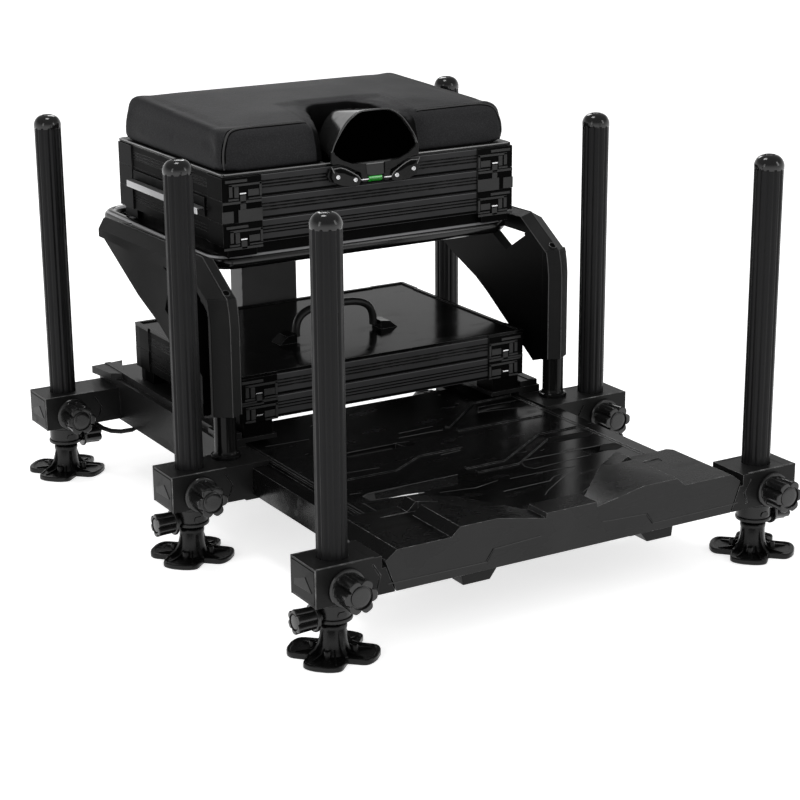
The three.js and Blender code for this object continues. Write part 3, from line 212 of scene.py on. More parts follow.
def powder_coat(name, tone=0.009, rough=0.36):
    """Baked black powder coat: a fine orange peel, faint scuffs and dust."""
    material, shader, place = finish(name, rough, specular=0.14)
    cloud, scuff = place.noise(0.09), place.noise(0.012, 5, (1, 6, 1))
    feed(shader, base=cloud.tint((tone,) * 3, (tone * 1.5,) * 3),
         rough=cloud * 0.12 + scuff.ramp(0.58, 0.75) * 0.14 + (rough - 0.08),
         bump=(place.noise(0.0016, 2), 0.00012))
    return material


def worn_and_highlit_edge(name, tone, rough=0.34, specular=0.5):
    """The same finish along an edge, paler in broken patches: partly rubbed wear and partly a painted highlight."""
    material, shader, place = finish(name, rough, specular=specular)
    rubbed = place.noise(0.011, 4).ramp(0.42, 0.66)
    feed(shader, base=rubbed.tint((tone,) * 3, (tone * 3.2,) * 3), rough=rubbed * -0.1 + rough)
    return material


def dress(node, material, edge, radius=0.8 * mm):
    """A CAD node keeps its shape: it gets a finish, and a rounded edge of its own finish."""
    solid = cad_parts[node]
    solid.data.materials.clear()
    solid.data.materials.append(material)
    solid.data.materials.append(edge)
    for face in solid.data.polygons:
        face.use_smooth = True
        face.material_index = 0
    solid.modifiers.new("weld", "WELD").merge_threshold = 0.00001
    flat = solid.modifiers.new("flat", "DECIMATE")
    flat.decimate_type, flat.angle_limit = "DISSOLVE", math.radians(0.6)
    bevel = solid.modifiers.new("edge", "BEVEL")
    bevel.width, bevel.segments, bevel.limit_method, bevel.angle_limit = radius, 2, "ANGLE", math.radians(24)
    bevel.material = 1
    even = solid.modifiers.new("even", "WEIGHTED_NORMAL")
    even.keep_sharp, even.weight = False, 100


coat, coat_edge = powder_coat("frame_powder_coat"), worn_and_highlit_edge("frame_coat_edge", 0.13)
for node in ("chassis_frame", "front_beam"):
    dress(node, coat, coat_edge, 1 * mm)
# the rear support's coat is painted far lighter than the frame's, as painted light
dress("rear_support", powder_coat("support_coat_painted_light", 0.12, 0.4), worn_and_highlit_edge("support_edge", 0.12))


# ---- legs
# Six fluted 36 mm tubes of black anodised alloy, each with a pressed-on domed plastic cap.
# Each slides through its arm; a plainer inner leg slides in it and ends in a ball.
rows, sides = ("front", "mid", "rear"), {"left": -1, "right": 1}
leg_radius, leg_top, leg_end, leg_bore = 18 * mm, 496 * mm, 60 * mm, 13 * mm
flutes, flute_depth, steps_a_flute = 12, 1.3 * mm, 10


def loft(rings, wrap=False):
    """A skin through rings of points. Flat faces close its ends, or its last ring joins the first."""
    count, points = len(rings[0]), [p for ring in rings for p in ring]
    faces = [(a * count + i, a * count + j, b * count + j, b * count + i)
             for a, b in zip(range(len(rings)), [*range(1, len(rings)), 0][:len(rings) if wrap else len(rings) - 1])
             for i, j in zip(range(count), [*range(1, count), 0])]
    if not wrap:
        faces += [tuple(range(count))[::-1], tuple(range(len(points) - count, len(points)))]
    return points, faces


def turned(profile, sides=56, wrap=False):
    """A turned form on (radius, height) in millimetres, with its axis on Z."""
    turn = [2 * math.pi * k / sides for k in range(sides)]
    return loft([[(r * mm * math.cos(a), r * mm * math.sin(a), z * mm) for a in turn] for r, z in profile], wrap)


def piece(name, body, material, part, nodes=(), place=Matrix.Identity(4), sharp=32, round_edge=0.0):
    """A shown piece: its mesh, finish and body, and the CAD nodes that it stands for."""
    mesh = bpy.data.meshes.new(name)
    mesh.from_pydata(*[[tuple(p) for p in part[0]], [], part[1]])
    mesh.materials.append(material)
    tidy = bmesh.new()
    tidy.from_mesh(mesh)
    bmesh.ops.recalc_face_normals(tidy, faces=tidy.faces)
    tidy.to_mesh(mesh)
    mesh.shade_smooth()
    mesh.set_sharp_from_angle(angle=math.radians(sharp))
    made = bpy.data.objects.new(name, mesh)
    made.matrix_world = place
    bpy.context.scene.collection.objects.link(made)
    if round_edge:
        bevel = made.modifiers.new("edge", "BEVEL")
        bevel.width, bevel.segments, bevel.limit_method, bevel.angle_limit = round_edge, 2, "ANGLE", math.radians(sharp)
        made.modifiers.new("even", "WEIGHTED_NORMAL").keep_sharp = False
    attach(made, body)
    if nodes:
        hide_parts(*nodes)
    return made


def anodised(name, tone, rough, height):
    """Black anodised extrusion: drawing lines along Z, faint handling marks, a duller band here and there."""
    material, shader, place = finish(name, rough, metal=0.2, specular=0.12)
    lines, marks = place.noise(0.0009, 3, (1, 1, 160)), place.noise(0.03, 4)
    feed(shader, base=(lines * 0.6 + marks * 0.4).tint((tone,) * 3, (tone * 2.1, tone * 2.1, tone * 2.2)),
         rough=marks.ramp(0.35, 0.7) * 0.16 + lines * 0.08 + (rough - 0.1), bump=(lines, height))
    return material


def moulded(name, tone, rough, grain, height, specular=0.22):
    """Injection-moulded black plastic: its grain, cloudy gloss, fine dust and rubbed patches."""
    material, shader, place = finish(name, rough, specular=specular)
    cloud, dust, rubbed = place.noise(0.05, 3), place.noise(0.0022, 2), place.noise(0.02, 5, (2.5, 1, 1))
    feed(shader, base=(cloud * 0.7 + dust.ramp(0.62, 0.8) * 0.5).tint((tone,) * 3, (tone * 1.8,) * 3),
         rough=cloud * 0.1 + rubbed.ramp(0.52, 0.72) * 0.12 + (rough - 0.08), bump=(place.noise(grain, 2), height))
    return material


def leg_ring(z):
    """A ring of the outer leg: twelve round-edged grooves, and a fine line down each flute."""
    ring = []
    for k in range(flutes * steps_a_flute):
        turn, t = 2 * math.pi * k / (flutes * steps_a_flute), abs((k / steps_a_flute + 0.5) % 1 - 0.5)
        groove = min(1, max(0, (t - 0.26) / 0.2)) ** 0.8 + (0.16 if t < 0.04 else 0)
        r = leg_radius - flute_depth * groove
        ring.append((r * math.cos(turn), r * math.sin(turn), z))
    return ring


leg_alloy = anodised("black_anodised_leg", 0.01, 0.34, 0.00006)
inner_alloy = anodised("black_anodised_inner_leg", 0.012, 0.3, 0.00004)
cap_plastic = moulded("glossy_leg_cap", 0.008, 0.16, 0.0008, 0.00003, 0.5)
bore_depth = 340 * mm
# the cap over the leg's top: radius, and height above that top
dome = [(18.5, 3.4), (18.1, 5.6), (17.1, 8.2), (15.5, 10.9), (13.3, 13.2), (10.6, 14.9), (8, 15.8), (6.9, 16),
        (6.6, 15.7), (6.4, 14.5), (4.4, 14.5), (4.2, 15.2), (3.8, 15.5), (0.1, 15.5)]
turns = [2 * math.pi * k / (flutes * steps_a_flute) for k in range(flutes * steps_a_flute)]
bore_rings = [[(leg_bore * math.cos(a), leg_bore * math.sin(a), z) for a in turns]
              for z in (leg_end + bore_depth, leg_end)]
barrel = loft([*bore_rings, leg_ring(leg_end), leg_ring(leg_top)])


def cap_ring(r, z, rise=0.0):
    """A ring of the cap; its foot rises over the grooves between the flutes."""
    return [(r * mm * math.cos(a), r * mm * math.sin(a),
             leg_top + (z + rise * (abs((6 * a / math.pi + 0.5) % 1 - 0.5) > 0.36)) * mm) for a in turns]


cap = loft([cap_ring(16.2, -1.5), cap_ring(18.2, -1.5, 1.6), cap_ring(18.5, -1.1, 1.6),
            *[cap_ring(r, z) for r, z in dome]])
inner = turned([(0.1, 18.9), (6.4, 21.4), (9.2, 28), (7.4, 33.5), (5.5, 37.2), (5.5, 45), (12.1, 46.4), (12.3, 47),
                (12.3, 257.4), (11.7, 258), (0.1, 258)])


def leg_axis(name):
    """The point on the ground under a leg."""
    low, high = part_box(f"{name}_leg")
    return Vector(((low.x + high.x) / 2, (low.y + high.y) / 2, 0))


for row in rows:
    for side in sides:
        name = f"{row}_{side}"
        axis = Matrix.Translation(leg_axis(name))
        piece(f"{name}_fluted_leg", f"{name}_leg_set", leg_alloy, barrel, [f"{name}_leg"], axis)
        piece(f"{name}_leg_cap", f"{name}_leg_set", cap_plastic, cap, (), axis, 40)
        piece(f"{name}_ball_leg", f"{name}_inner", inner_alloy, inner, [f"{name}_inner_leg"], axis)

# ---- collars, knobs and mud feet
# Moulded in black nylon. The collars are clamped round the inner legs, and the knobs are screwed onto steel stems.
# Each foot has four petals with ribs between them, and is pressed over the ball of its leg.


def prism(outline, low, high, plane="xy"):
    """An upright block on an outline in millimetres, in plan, from the front (xz) or from the side (yz)."""
    lay = {"xy": lambda u, v, w: (u * mm, v * mm, w * mm), "xz": lambda u, v, w: (u * mm, w * mm, v * mm),
           "yz": lambda u, v, w: (w * mm, u * mm, v * mm)}[plane]
    return loft([[lay(u, v, w) for u, v in outline] for w in (low, high)])


def placed(part, matrix):
    """The part moved and turned by a matrix."""
    return [matrix @ Vector(p) for p in part[0]], part[1]


def together(*parts):
    """Several parts as one mesh."""
    points, faces = [], []
    for more, turns in parts:
        faces += [tuple(k + len(points) for k in face) for face in turns]
        points += more
    return points, faces


collar_plastic = moulded("satin_collar", 0.006, 0.3, 0.0007, 0.00006, 0.35)
knob_plastic = moulded("smooth_knob", 0.008, 0.22, 0.0006, 0.00004, 0.5)
foot_plastic = moulded("scuffed_foot", 0.0035, 0.3, 0.0009, 0.0001, 0.25)
to_x, to_front = Matrix.Rotation(math.pi / 2, 4, "Y"), Matrix.Rotation(math.pi / 2, 4, "X")
collar = together(
    turned([(12.9, 44), (19.4, 44), (21.6, 44.4), (22.7, 45.2), (23, 46.4), (23, 47.8), (22.6, 48.9), (21.8, 49.5),
            (21.1, 49.9), (21.1, 50.7), (21.5, 51), (21.5, 66.2), (21.1, 66.5), (21.1, 67.1), (21.5, 67.4),
            (21.5, 72.6), (21, 73.5), (20.4, 73.7), (19.2, 73.7), (19.2, 59.7), (12.9, 59.7)], wrap=True),
    placed(turned([(10.6, 17), (10.6, 20.6), (10, 22.2), (9.2, 22.9), (4.4, 22.9), (4.4, 17)], 40, True),
           Matrix.Translation((0, 0, 51 * mm)) @ to_x),
    *[placed(prism([(-5.6, 53.6), (5.6, 53.6), (5.6, 56), (3.6, 58.8), (-3.6, 58.8), (-5.6, 56)], -22.6, -20.9, "xz"),
             Matrix.Rotation(turn, 4, "Z")) for turn in (0, math.pi)])


def knob(radius, flange, barrel_length):
    """Flange, six-lobed barrel that flares to its face, and a sunk round cap; its axis on Z."""
    def ring(reach, z, lobed=1.0):
        points = []
        for k in range(72):
            turn = abs((k / 12 + 0.5) % 1 - 0.5)
            dip = min(1, max(0, (turn - 0.17) / 0.33)) ** 1.5 * 0.24 * lobed
            points.append(((reach - dip) * radius * mm * math.cos(k * math.pi / 36),
                           (reach - dip) * radius * mm * math.sin(k * math.pi / 36), z * mm))
        return points
    face = flange + barrel_length
    return loft([ring(0.3, 0, 0), ring(0.96, 0, 0), ring(1, 0.6, 0), ring(1, flange - 1.8, 0),
                 ring(0.97, flange - 0.7, 0), ring(0.9, flange, 0), ring(0.86, flange + 0.1),
                 ring(0.84, flange + 0.8), ring(0.86, face * 0.6), ring(0.9, face - 2.2), ring(0.9, face - 1),
                 ring(0.87, face - 0.2), ring(0.84, face), ring(0.64, face, 0.1), ring(0.61, face - 0.5, 0),
                 ring(0.6, face - 2.4, 0), ring(0.54, face - 2.4, 0), ring(0.53, face - 1.4, 0),
                 ring(0.49, face - 0.9, 0), ring(0.3, face - 0.6, 0), ring(0.05, face - 0.5, 0)])


# a petal's outline: turn from its middle in quarter turns, and reach in shares of the foot's radius
petal = [(-0.5, 0.64), (-0.47, 0.66), (-0.42, 0.72), (-0.37, 0.8), (-0.33, 0.88), (-0.29, 0.945), (-0.24, 0.98),
         (-0.17, 0.995), (-0.08, 1), (0.08, 1), (0.17, 0.995), (0.24, 0.98), (0.29, 0.945), (0.33, 0.88),
         (0.37, 0.8), (0.42, 0.72), (0.47, 0.66)]
foot_radius = 54 * mm


def petals(reach, z):
    """A ring round the four petals, scaled towards their middle by reach."""
    return [(foot_radius * r * reach * math.cos(a), foot_radius * r * reach * math.sin(a), z * mm)
            for k in range(4) for t, r in petal for a in [math.pi / 4 + (k + t) * math.pi / 2]]


rib = [(13, 5), (31.5, 5), (30.5, 8), (24, 11.5), (19.5, 18), (17, 27), (15.4, 33), (13, 35)]
foot = together(
    loft([petals(0.2, 0), petals(0.975, 0), petals(1, 1.2), petals(1, 5.8), petals(0.985, 6.8), petals(0.955, 7),
          petals(0.925, 6.8), petals(0.9, 5.2), petals(0.6, 4.8), petals(0.2, 4.8)]),
    turned([(21, 4), (20.4, 7), (18.6, 9.5), (16.8, 15), (15.7, 22), (15.5, 33), (16.2, 35), (16.2, 38), (15.6, 39.6),
            (15, 40), (14.4, 40), (11.2, 34), (10.1, 28), (7.6, 21), (0.1, 17.9), (0.1, 4)]),
    *[placed(prism(rib, -1.8, 1.8, "xz"), Matrix.Rotation(k * math.pi / 2, 4, "Z")) for k in range(4)],
    *[placed(prism([(14, 4.6), (44, 4.6), (43, 6.2), (24, 8.2), (14, 15)], -1, 1, "xz"),
             Matrix.Rotation((k + 0.5 + t) * math.pi / 2, 4, "Z")) for k in range(4) for t in (-0.22, 0.22)],
    *[placed(turned([(4.2, 4), (3.9, 13), (3.4, 13.8), (2.6, 13.8), (2.4, 12.6), (0.1, 12.6)], 20),
             Matrix.Rotation((k + 0.5) * math.pi / 2, 4, "Z") @ Matrix.Translation((25 * mm, 0, 0))) for k in range(4)])

# from the leg's axis to the seat of the arm's knob and of the collar's, and the height of both above the ground
knob_reach, knob_height = 32.3 * mm, 92.4 * mm
small_reach, small_height = 23.3 * mm, 50 * mm
for row in rows:
    for side, hand in sides.items():
        name, inboard = f"{row}_{side}", -hand if row == "rear" else hand
        axis = leg_axis(name)
        turn = Matrix.Rotation(0 if inboard > 0 else math.pi, 4, "Z")
        piece(f"{name}_collar", f"{name}_leg_set", collar_plastic, collar, [f"{name}_leg_collar"],
              Matrix.Translation(axis) @ turn)
        piece(f"{name}_arm_knob", f"{name}_clamp", knob_plastic, knob(23, 5, 30), [f"{name}_leg_knob"],
              Matrix.Translation(axis + Vector((0, -knob_reach, knob_height))) @ to_front, 28)
        piece(f"{name}_small_knob", f"{name}_collar_clamp", knob_plastic, knob(16.5, 4, 23),
              [f"{name}_collar_knob"],
              Matrix.Translation(axis + Vector((inboard * small_reach, 0, small_height))) @ turn @ to_x, 28)
        piece(f"{name}_petal_foot", f"{name}_foot", foot_plastic, foot, [f"{name}_mud_foot"],
              Matrix.Translation(axis), 36)

# ---- posts, side frames and deck
# Two round posts stand on welded flanges and carry two hollow moulded side frames, each closed by screws.
# A bent round tube, gloss black with a highlight painted along its upper front, lies between the frames on four stubs
# and carries the seat stack.
tube_gloss_painted_highlight, shader, place = finish("gloss_tube_painted_highlight", 0.16, specular=0.4)
upward = place.node("ShaderNodeNewGeometry", None, None, "Normal").along("Z")
# painted highlight: a pale band where the tube's surface faces partly up
feed(shader, base=(upward.ramp(0.62, 0.72) * upward.ramp(0.95, 0.85)).tint((0.005,) * 3, (0.4, 0.4, 0.41)),
     rough=place.noise(0.05) * 0.12 + 0.1)
post_gloss = moulded("gloss_post_coat", 0.004, 0.16, 0.002, 0.00002, 0.14)
shell_plastic, shader, place = finish("side_frame_plastic", 0.36, specular=0.03)
facing = place.node("ShaderNodeNewGeometry", None, None, "Normal")
# faces that look sideways or up are painted near black as shade, the rest paler as painted light; the scuffs are wear
painted_dark_faces = abs(facing.along("X")).ramp(0.75, 0.95) + facing.along("Z").ramp(0.86, 1) * 0.7
cloud, scuff = place.noise(0.07, 3), place.noise(0.012, 5, (1, 6, 1))
feed(shader, base=((1 - painted_dark_faces) * (cloud * 0.5 + 0.5) + scuff.ramp(0.66, 0.8) * 0.1).tint((0.002,) * 3, (0.03,) * 3),
     rough=cloud * 0.14 + 0.3, bump=(place.noise(0.0009, 2), 0.00008))
screw_black = moulded("frame_screw", 0.0015, 0.5, 0.001, 0.00003, 0.03)
# pale bars along the side frames' edges and round their screws are painted highlights
ridge_painted_highlight = moulded("frame_ridge", 0.05, 0.3, 0.001, 0.00003, 0.3)
# near black with no sheen: painted shadow in the side frames' hollows
hollow_painted_shadow = moulded("frame_hollow_painted_shadow", 0.001, 0.7, 0.001, 0.00003, 0.0)
bevel_slope = math.radians(31.9)
screw_x, screw_y, screw_z = 248 * mm, -8 * mm, 335 * mm
# pale lines along the rounded side frames, painted as highlights: how far out each lies, and its course seen from the
# side
ridge_lines = {"ridge": (252, [(-25.3, 177), (-25.3, 294), (-23, 313), (-18.3, 329), (49.9, 371.1), (320, 367.1)]),
               "inner_edge": (235.9, [(-17.2, 177), (-17.2, 294), (-15, 311), (-11.5, 326), (52.3, 365.1),
                                      (320, 361.1)])}
post = turned([(19.5, 120.3), (19.5, 123.4), (18.9, 124.2), (17.4, 124.4), (16.4, 124.8), (15.4, 126), (14.7, 128.4),
               (14.5, 130), (14.5, 290), (0.1, 290), (0.1, 120.3)])


def swept(path, half_width, half_height, flat, sides=32):
    """A round or oval bar along a path in a plane whose normal is flat."""
    rings = []
    for k, point in enumerate(path):
        along = (path[min(k + 1, len(path) - 1)] - path[max(k - 1, 0)]).normalized()
        beside = along.cross(flat).normalized()
        rings.append([point + beside * (half_width * math.cos(2 * math.pi * t / sides))
                      + flat * (half_height * math.sin(2 * math.pi * t / sides)) for t in range(sides)])
    return loft(rings)


for side, hand in sides.items():
    low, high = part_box(f"frame_post_{side}")
    piece(f"{side}_post", "frame", post_gloss, post, [f"frame_post_{side}"],
          Matrix.Translation(((low.x + high.x) / 2, (low.y + high.y) / 2, 0)))
    dress(f"side_frame_{side}", shell_plastic, worn_and_highlit_edge(f"side_frame_edge_{side}", 0.05, 0.36), 1.6 * mm)
    # its front wall, closed over the post
    piece(f"{side}_frame_front", "frame", shell_plastic, loft([
        [(hand * x * mm, (y + back * share) * mm, z * mm) for x, y, share in (
            (272.2, -1, 0), (272.2, -10.9, 1), (252, -25, 1), (235.8, -16.9, 1), (235.8, -1, 0))]
        for z, back in ((176.6, 0), (294, 0), (303, 0.8), (313, 2.3), (322, 4.5), (329, 6.8))]), round_edge=1 * mm)
    # its outer side is hollow behind the front wall and inside the strut; a near-black sheet lies there as painted
    # shadow
    piece(f"{side}_frame_hollow_painted_shadow", "frame", hollow_painted_shadow, together(*[
        prism([(y, z) for y, z in outline], hand * (x - 0.5), hand * (x + 0.3), "yz") for x, outline in (
            (272, [(-4, 179), (-4, 307), (8, 317), (19, 325), (19, 171), (8, 174)]),
            (258, [(22, 197), (133, 266), (157, 279), (148, 300), (100, 305), (46, 339), (36, 336), (22, 325)]))]))
    for part, (x, line) in ridge_lines.items():
        piece(f"{side}_frame_{part}", "frame", ridge_painted_highlight, swept(
            [Vector((hand * x * mm, y * mm, z * mm)) for y, z in line], 0.6 * mm, 0.7 * mm, Vector((1, 0, 0)), 10))
    # a screw in its sunk hole, low on the bevel, with a pale rim painted as a highlight
    slope = Matrix.Translation((hand * screw_x, screw_y, screw_z)) @ Matrix.Rotation(bevel_slope, 4, "X")
    piece(f"{side}_frame_screw_rim", "frame", ridge_painted_highlight,
          turned([(5.4, -1), (5.4, 0.6), (4.8, 0.9), (4.4, 0.6), (4.4, -1)], 32, True), (), slope)
    piece(f"{side}_frame_screw", "frame", screw_black,
          turned([(4.5, -1), (4.5, 0.3), (1.8, 0.3), (1.5, -0.2), (0.1, -0.2)], 32), (), slope)

low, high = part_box("deck_frame")
deck_z, deck_r, bend = (low.z + high.z) / 2, 9.5 * mm, 30 * mm
half, front, rear = 222 * mm, low.y + deck_r, high.y - deck_r
corners = [(half, front, 0), (half, rear, 1), (-half, rear, 2), (-half, front, 3)]
path = [Vector((0, front, deck_z))]
for x, y, quarter in corners:
    centre = Vector((x - math.copysign(bend, x), y + (bend if y == front else -bend), deck_z))
    path += [centre + bend * Vector((math.cos(a), math.sin(a), 0))
             for a in [(quarter - 1 + k / 10) * math.pi / 2 for k in range(11)]]
path.append(Vector((0, front, deck_z)))
# the stubs' outer ends, radius and places in shares of the deck's depth, and the cross tube's place from the front
stub_end, stub_r, stub_shares, cross_run = 235.7 * mm, 7 * mm, (0.18, 0.7), 296 * mm
stubs = [swept([Vector((hand * x, front + share * (rear - front), deck_z)) for x in (half, stub_end)], stub_r, stub_r,
               Vector((0, 0, 1)), 24) for hand in sides.values() for share in stub_shares]
cross = swept([Vector((hand * half, front + cross_run, deck_z)) for hand in (-1, 1)], deck_r, deck_r, Vector((0, 0, 1)))
piece("bent_tube_deck", "frame", tube_gloss_painted_highlight,
      together(swept(path, deck_r, deck_r, Vector((0, 0, 1))), cross, *stubs), ["deck_frame"])

# ---- arm ends
# A pressed-in plastic cap closes each arm and each end of the front beam, with a pale rim and a raised wedge.
# Two thin welds run along the top of the arm, and a wire ring for the strap is welded into each rear corner.
cap_satin = moulded("arm_cap_plastic", 0.004, 0.34, 0.0008, 0.00006, 0.08)
cap_wedge = moulded("arm_cap_wedge", 0.02, 0.34, 0.0008, 0.00006, 0.1)
# the rim and the welds are drawn paler, partly from wear and partly as a painted highlight
rim_wear_and_highlight = worn_and_highlit_edge("arm_rim", 0.07, 0.3)
# how far an arm's points lie from the row of its leg, and the points of its end face from its end
arm_half, face_depth = 45 * mm, 2.5 * mm
cap_inset, weld_run = 3, 75
for row in rows:
    node, body = ("front_beam", "footplate_unit") if row == "front" else ("chassis_frame", "frame")
    for side, hand in sides.items():
        middle_y = leg_axis(f"{row}_{side}").y
        near = [p.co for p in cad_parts[node].data.vertices
                if abs(p.co.y - middle_y) < arm_half and p.co.x * hand > 0]
        end = max(p.x * hand for p in near)
        face = [p for p in near if p.x * hand > end - face_depth]
        (y0, y1), (z0, z1) = [(min(p[k] for p in face) / mm, max(p[k] for p in face) / mm) for k in (1, 2)]
        skin = hand * end / mm
        piece(f"{row}_{side}_arm_cap", body, cap_satin,
              prism([(y0 + cap_inset, z0 + cap_inset), (y1 - cap_inset, z0 + cap_inset),
                     (y1 - cap_inset, z1 - cap_inset), (y0 + cap_inset, z1 - cap_inset)],
                    skin - hand * 0.5, skin + hand * 0.9, "yz"), round_edge=0.6 * mm)
        piece(f"{row}_{side}_arm_wedge", body, cap_wedge,
              prism([(y0 + 8, z0 + 16), (y0 + 24, z1 - 15), (y1 - 12, z1 - 24), (y1 - 10, z0 + 14)],
                    skin + hand * 0.4, skin + hand * 1.6, "yz"), round_edge=0.7 * mm)
        rail = [Vector((hand * x * mm, 0, 0)) for x in (end / mm - 1, end / mm - weld_run)]
        piece(f"{row}_{side}_arm_ridges", body, rim_wear_and_highlight, together(
            *[swept([p + Vector((0, y * mm, z1 * mm)) for p in rail], 0.8 * mm, 0.6 * mm, Vector((0, 0, 1)), 8)
              for y in (y0 + 2.2, y1 - 2.2)],
            *[swept([Vector((skin * mm, y * mm, z0 * mm)), Vector((skin * mm, y * mm, z1 * mm))], 0.8 * mm, 0.8 * mm,
                    Vector((0, 1, 0)), 8) for y in (y0 + 1.6, y1 - 1.6)]))

strap_ring = [(281, 380, 71), (280, 368, 67), (277.5, 347, 65.4), (272, 330, 65), (262, 319, 65.4), (247, 313.5, 67),
              (236, 312, 71.5)]
wire_radius = 3.2 * mm
for side, hand in sides.items():
    piece(f"{side}_strap_ring", "frame", coat,
          swept([Vector((hand * x * mm, y * mm, z * mm)) for x, y, z in strap_ring], wire_radius, wire_radius,
                Vector((0, 0, 1)), 14))

# ---- carry handle
# One bent bar of black nylon, oval in section.
# It folds forward on two pins in the wedge blocks of the low lid.
low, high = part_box("carry_handle")
middle, arch_foot = Vector(((low.x + high.x) / 2, (low.y + high.y) / 2, 0)), 217 * mm
arch_half, arch_rise, squareness = 61 * mm, 37.9 * mm, 0.62
grip_wide, grip_high = 5.3 * mm, 5.9 * mm
arch = [middle + Vector((-arch_half * math.copysign(abs(math.cos(t)) ** squareness, math.cos(t)), 0,
                         arch_foot + arch_rise * math.sin(t) ** squareness))
        for t in [math.pi * k / 48 for k in range(49)]]
grip_plastic = moulded("handle_grip", 0.014, 0.34, 0.0008, 0.00008)
piece("folding_handle", "handle", grip_plastic,
      swept(arch, grip_wide, grip_high, Vector((0, 1, 0)), 24), ["carry_handle"])

# ---- trays
# Stacked trays moulded in black plastic. Between the corner blocks their front and rear carry three fine grooves
# under a lip, and a gap parts each tray from the next; grooves and gap are painted shade, the lip a painted highlight.
# Clips with steel pins join the front corners.
tray_height, block_run = 29.4, 56.5  # the height of a tray, and the length of a corner block along its front


def tray_plastic_painted_light(name, top):
    """The sides nearly black; front and rear bands and the rear blocks' sides painted lighter as light, with painted
    shade in the grooves and gap and a painted highlight on the lip, measured down from the tray's top edge.
    """
    material, shader, place = finish(name, 0.4, specular=0.015)
    drop = (place.along("Z") * -1 + top) / (tray_height * mm)
    low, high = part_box("top_tray")
    facing = place.node("ShaderNodeNewGeometry", None, None, "Normal")
    # painted light: the front and rear bands and the sides of the rear blocks are lighter than the other faces
    lit_band = (abs(place.along("X")) < high.x - block_run * mm) * abs(facing.along("Y")).ramp(0.5, 0.9)
    lit_rear_block = (place.along("Y") > high.y - 44 * mm) * abs(facing.along("X")).ramp(0.5, 0.9)
    # painted shade in the three grooves and in the gap at the foot
    upper, middle, lower = (abs(drop - groove) < 0.03 for groove in (0.313, 0.453, 0.593))
    groove_shade = upper + middle + lower + (drop > 0.86) * (drop < 0.97)
    cloud, dust = place.noise(0.05, 3), place.noise(0.0022, 2)
    plain = lit_band * (1 - groove_shade) * (cloud * 0.5 + 0.75) * 0.42 + lit_rear_block * 0.16
    # painted highlight along the lip
    lip_highlight = lit_band * (drop < 0.05) * (cloud * 0.6 + 0.7) * 0.7
    feed(shader, base=(plain + lip_highlight + dust.ramp(0.7, 0.85) * 0.02).tint((0.0025,) * 3, (0.13, 0.13, 0.133)),
         rough=cloud * 0.12 + 0.32)
    return material


tray_edge = worn_and_highlit_edge("tray_edge", 0.012, 0.34, 0.1)
for node in ("lower_tray_bottom", "lower_tray_top", "upper_tray_bottom", "drawer_cabinet", "top_tray"):
    dress(node, tray_plastic_painted_light(f"satin_{node}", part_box(node)[1].z), tray_edge, 0.6 * mm)

# raised bars of a clip, in shares of its corner block from the outer edge and from the foot
clip_bars = [(0.08, 0.63, 0.77, 0.89), (0.17, 0.99, 0.6, 0.7), (0.17, 0.255, 0.14, 0.68), (0.3, 0.41, 0.11, 0.58),
             (0.645, 0.92, 0.13, 0.42), (0.935, 0.99, 0.09, 0.71), (0.15, 0.41, -0.02, 0.07),
             (0.655, 0.99, -0.02, 0.05), (0.445, 0.59, -0.15, 0.19), (0.01, 0.99, -0.17, -0.06)]
plain_bars = [(-0.01, 0.27, 0.03, 0.54), (0.39, 1, 0, 0.57), (0.445, 0.59, 0.57, 0.82)]
ground_rise, bar_rise, pin_rise, block_rise = 0.25, 1.3, 1.5, 1.1  # how far each stands out from the tray's front
clip_plastic = moulded("clip_plastic", 0.03, 0.36, 0.0008, 0.00008, 0.2)
# near black with little sheen: painted shade between a clip's bars, in slits, in wells and under the trays
painted_shade_black = moulded("painted_shade_black", 0.0015, 0.5, 0.0008, 0.00008, 0.03)
steel, shader, place = finish("bright_steel", 0.25, metal=1.0)
feed(shader, base=place.noise(0.003).tint((0.5, 0.5, 0.51), (0.72, 0.72, 0.73)))


def clip(node, bars, rise, hand):
    """Flat bars on the front of one corner block."""
    low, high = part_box(node)
    foot, front, reach = high.z / mm - tray_height, low.y / mm, high.x / mm
    spans = [([hand * (reach - u * block_run) for u in (u0, u1)], foot + v0 * tray_height, foot + v1 * tray_height)
             for u0, u1, v0, v1 in bars]
    return [prism([(x0, z0), (x1, z0), (x1, z1), (x0, z1)], front - rise, front + 0.1, "xz")
            for (x0, x1), z0, z1 in spans]


for body, nodes in (("frame", ("top_tray", "upper_tray_bottom")),
                    ("low_stack", ("lower_tray_top", "lower_tray_bottom"))):
    for side, hand in sides.items():
        for node in nodes:
            kept = clip_bars if node != "lower_tray_bottom" else [b for b in clip_bars if b[2] >= -0.05]
            # a clip's ground is a near-black sheet of painted shade
            piece(f"{node}_{side}_painted_shade_black", body, painted_shade_black,
                  together(*clip(node, [(0.015, 0.985, 0.02, 0.97)], ground_rise, hand)))
            piece(f"{node}_{side}_clip", body, clip_plastic,
                  together(*clip(node, kept, bar_rise, hand)), round_edge=0.25 * mm)
            piece(f"{node}_{side}_clip_pin", body, steel,
                  together(*clip(node, [(0.435, 0.595, 0.235, 0.305)], pin_rise, hand)), round_edge=0.3 * mm)
for side, hand in sides.items():
    piece(f"cabinet_{side}_block", "frame", clip_plastic,
          together(*clip("drawer_cabinet", plain_bars, block_rise, hand)), round_edge=0.25 * mm)

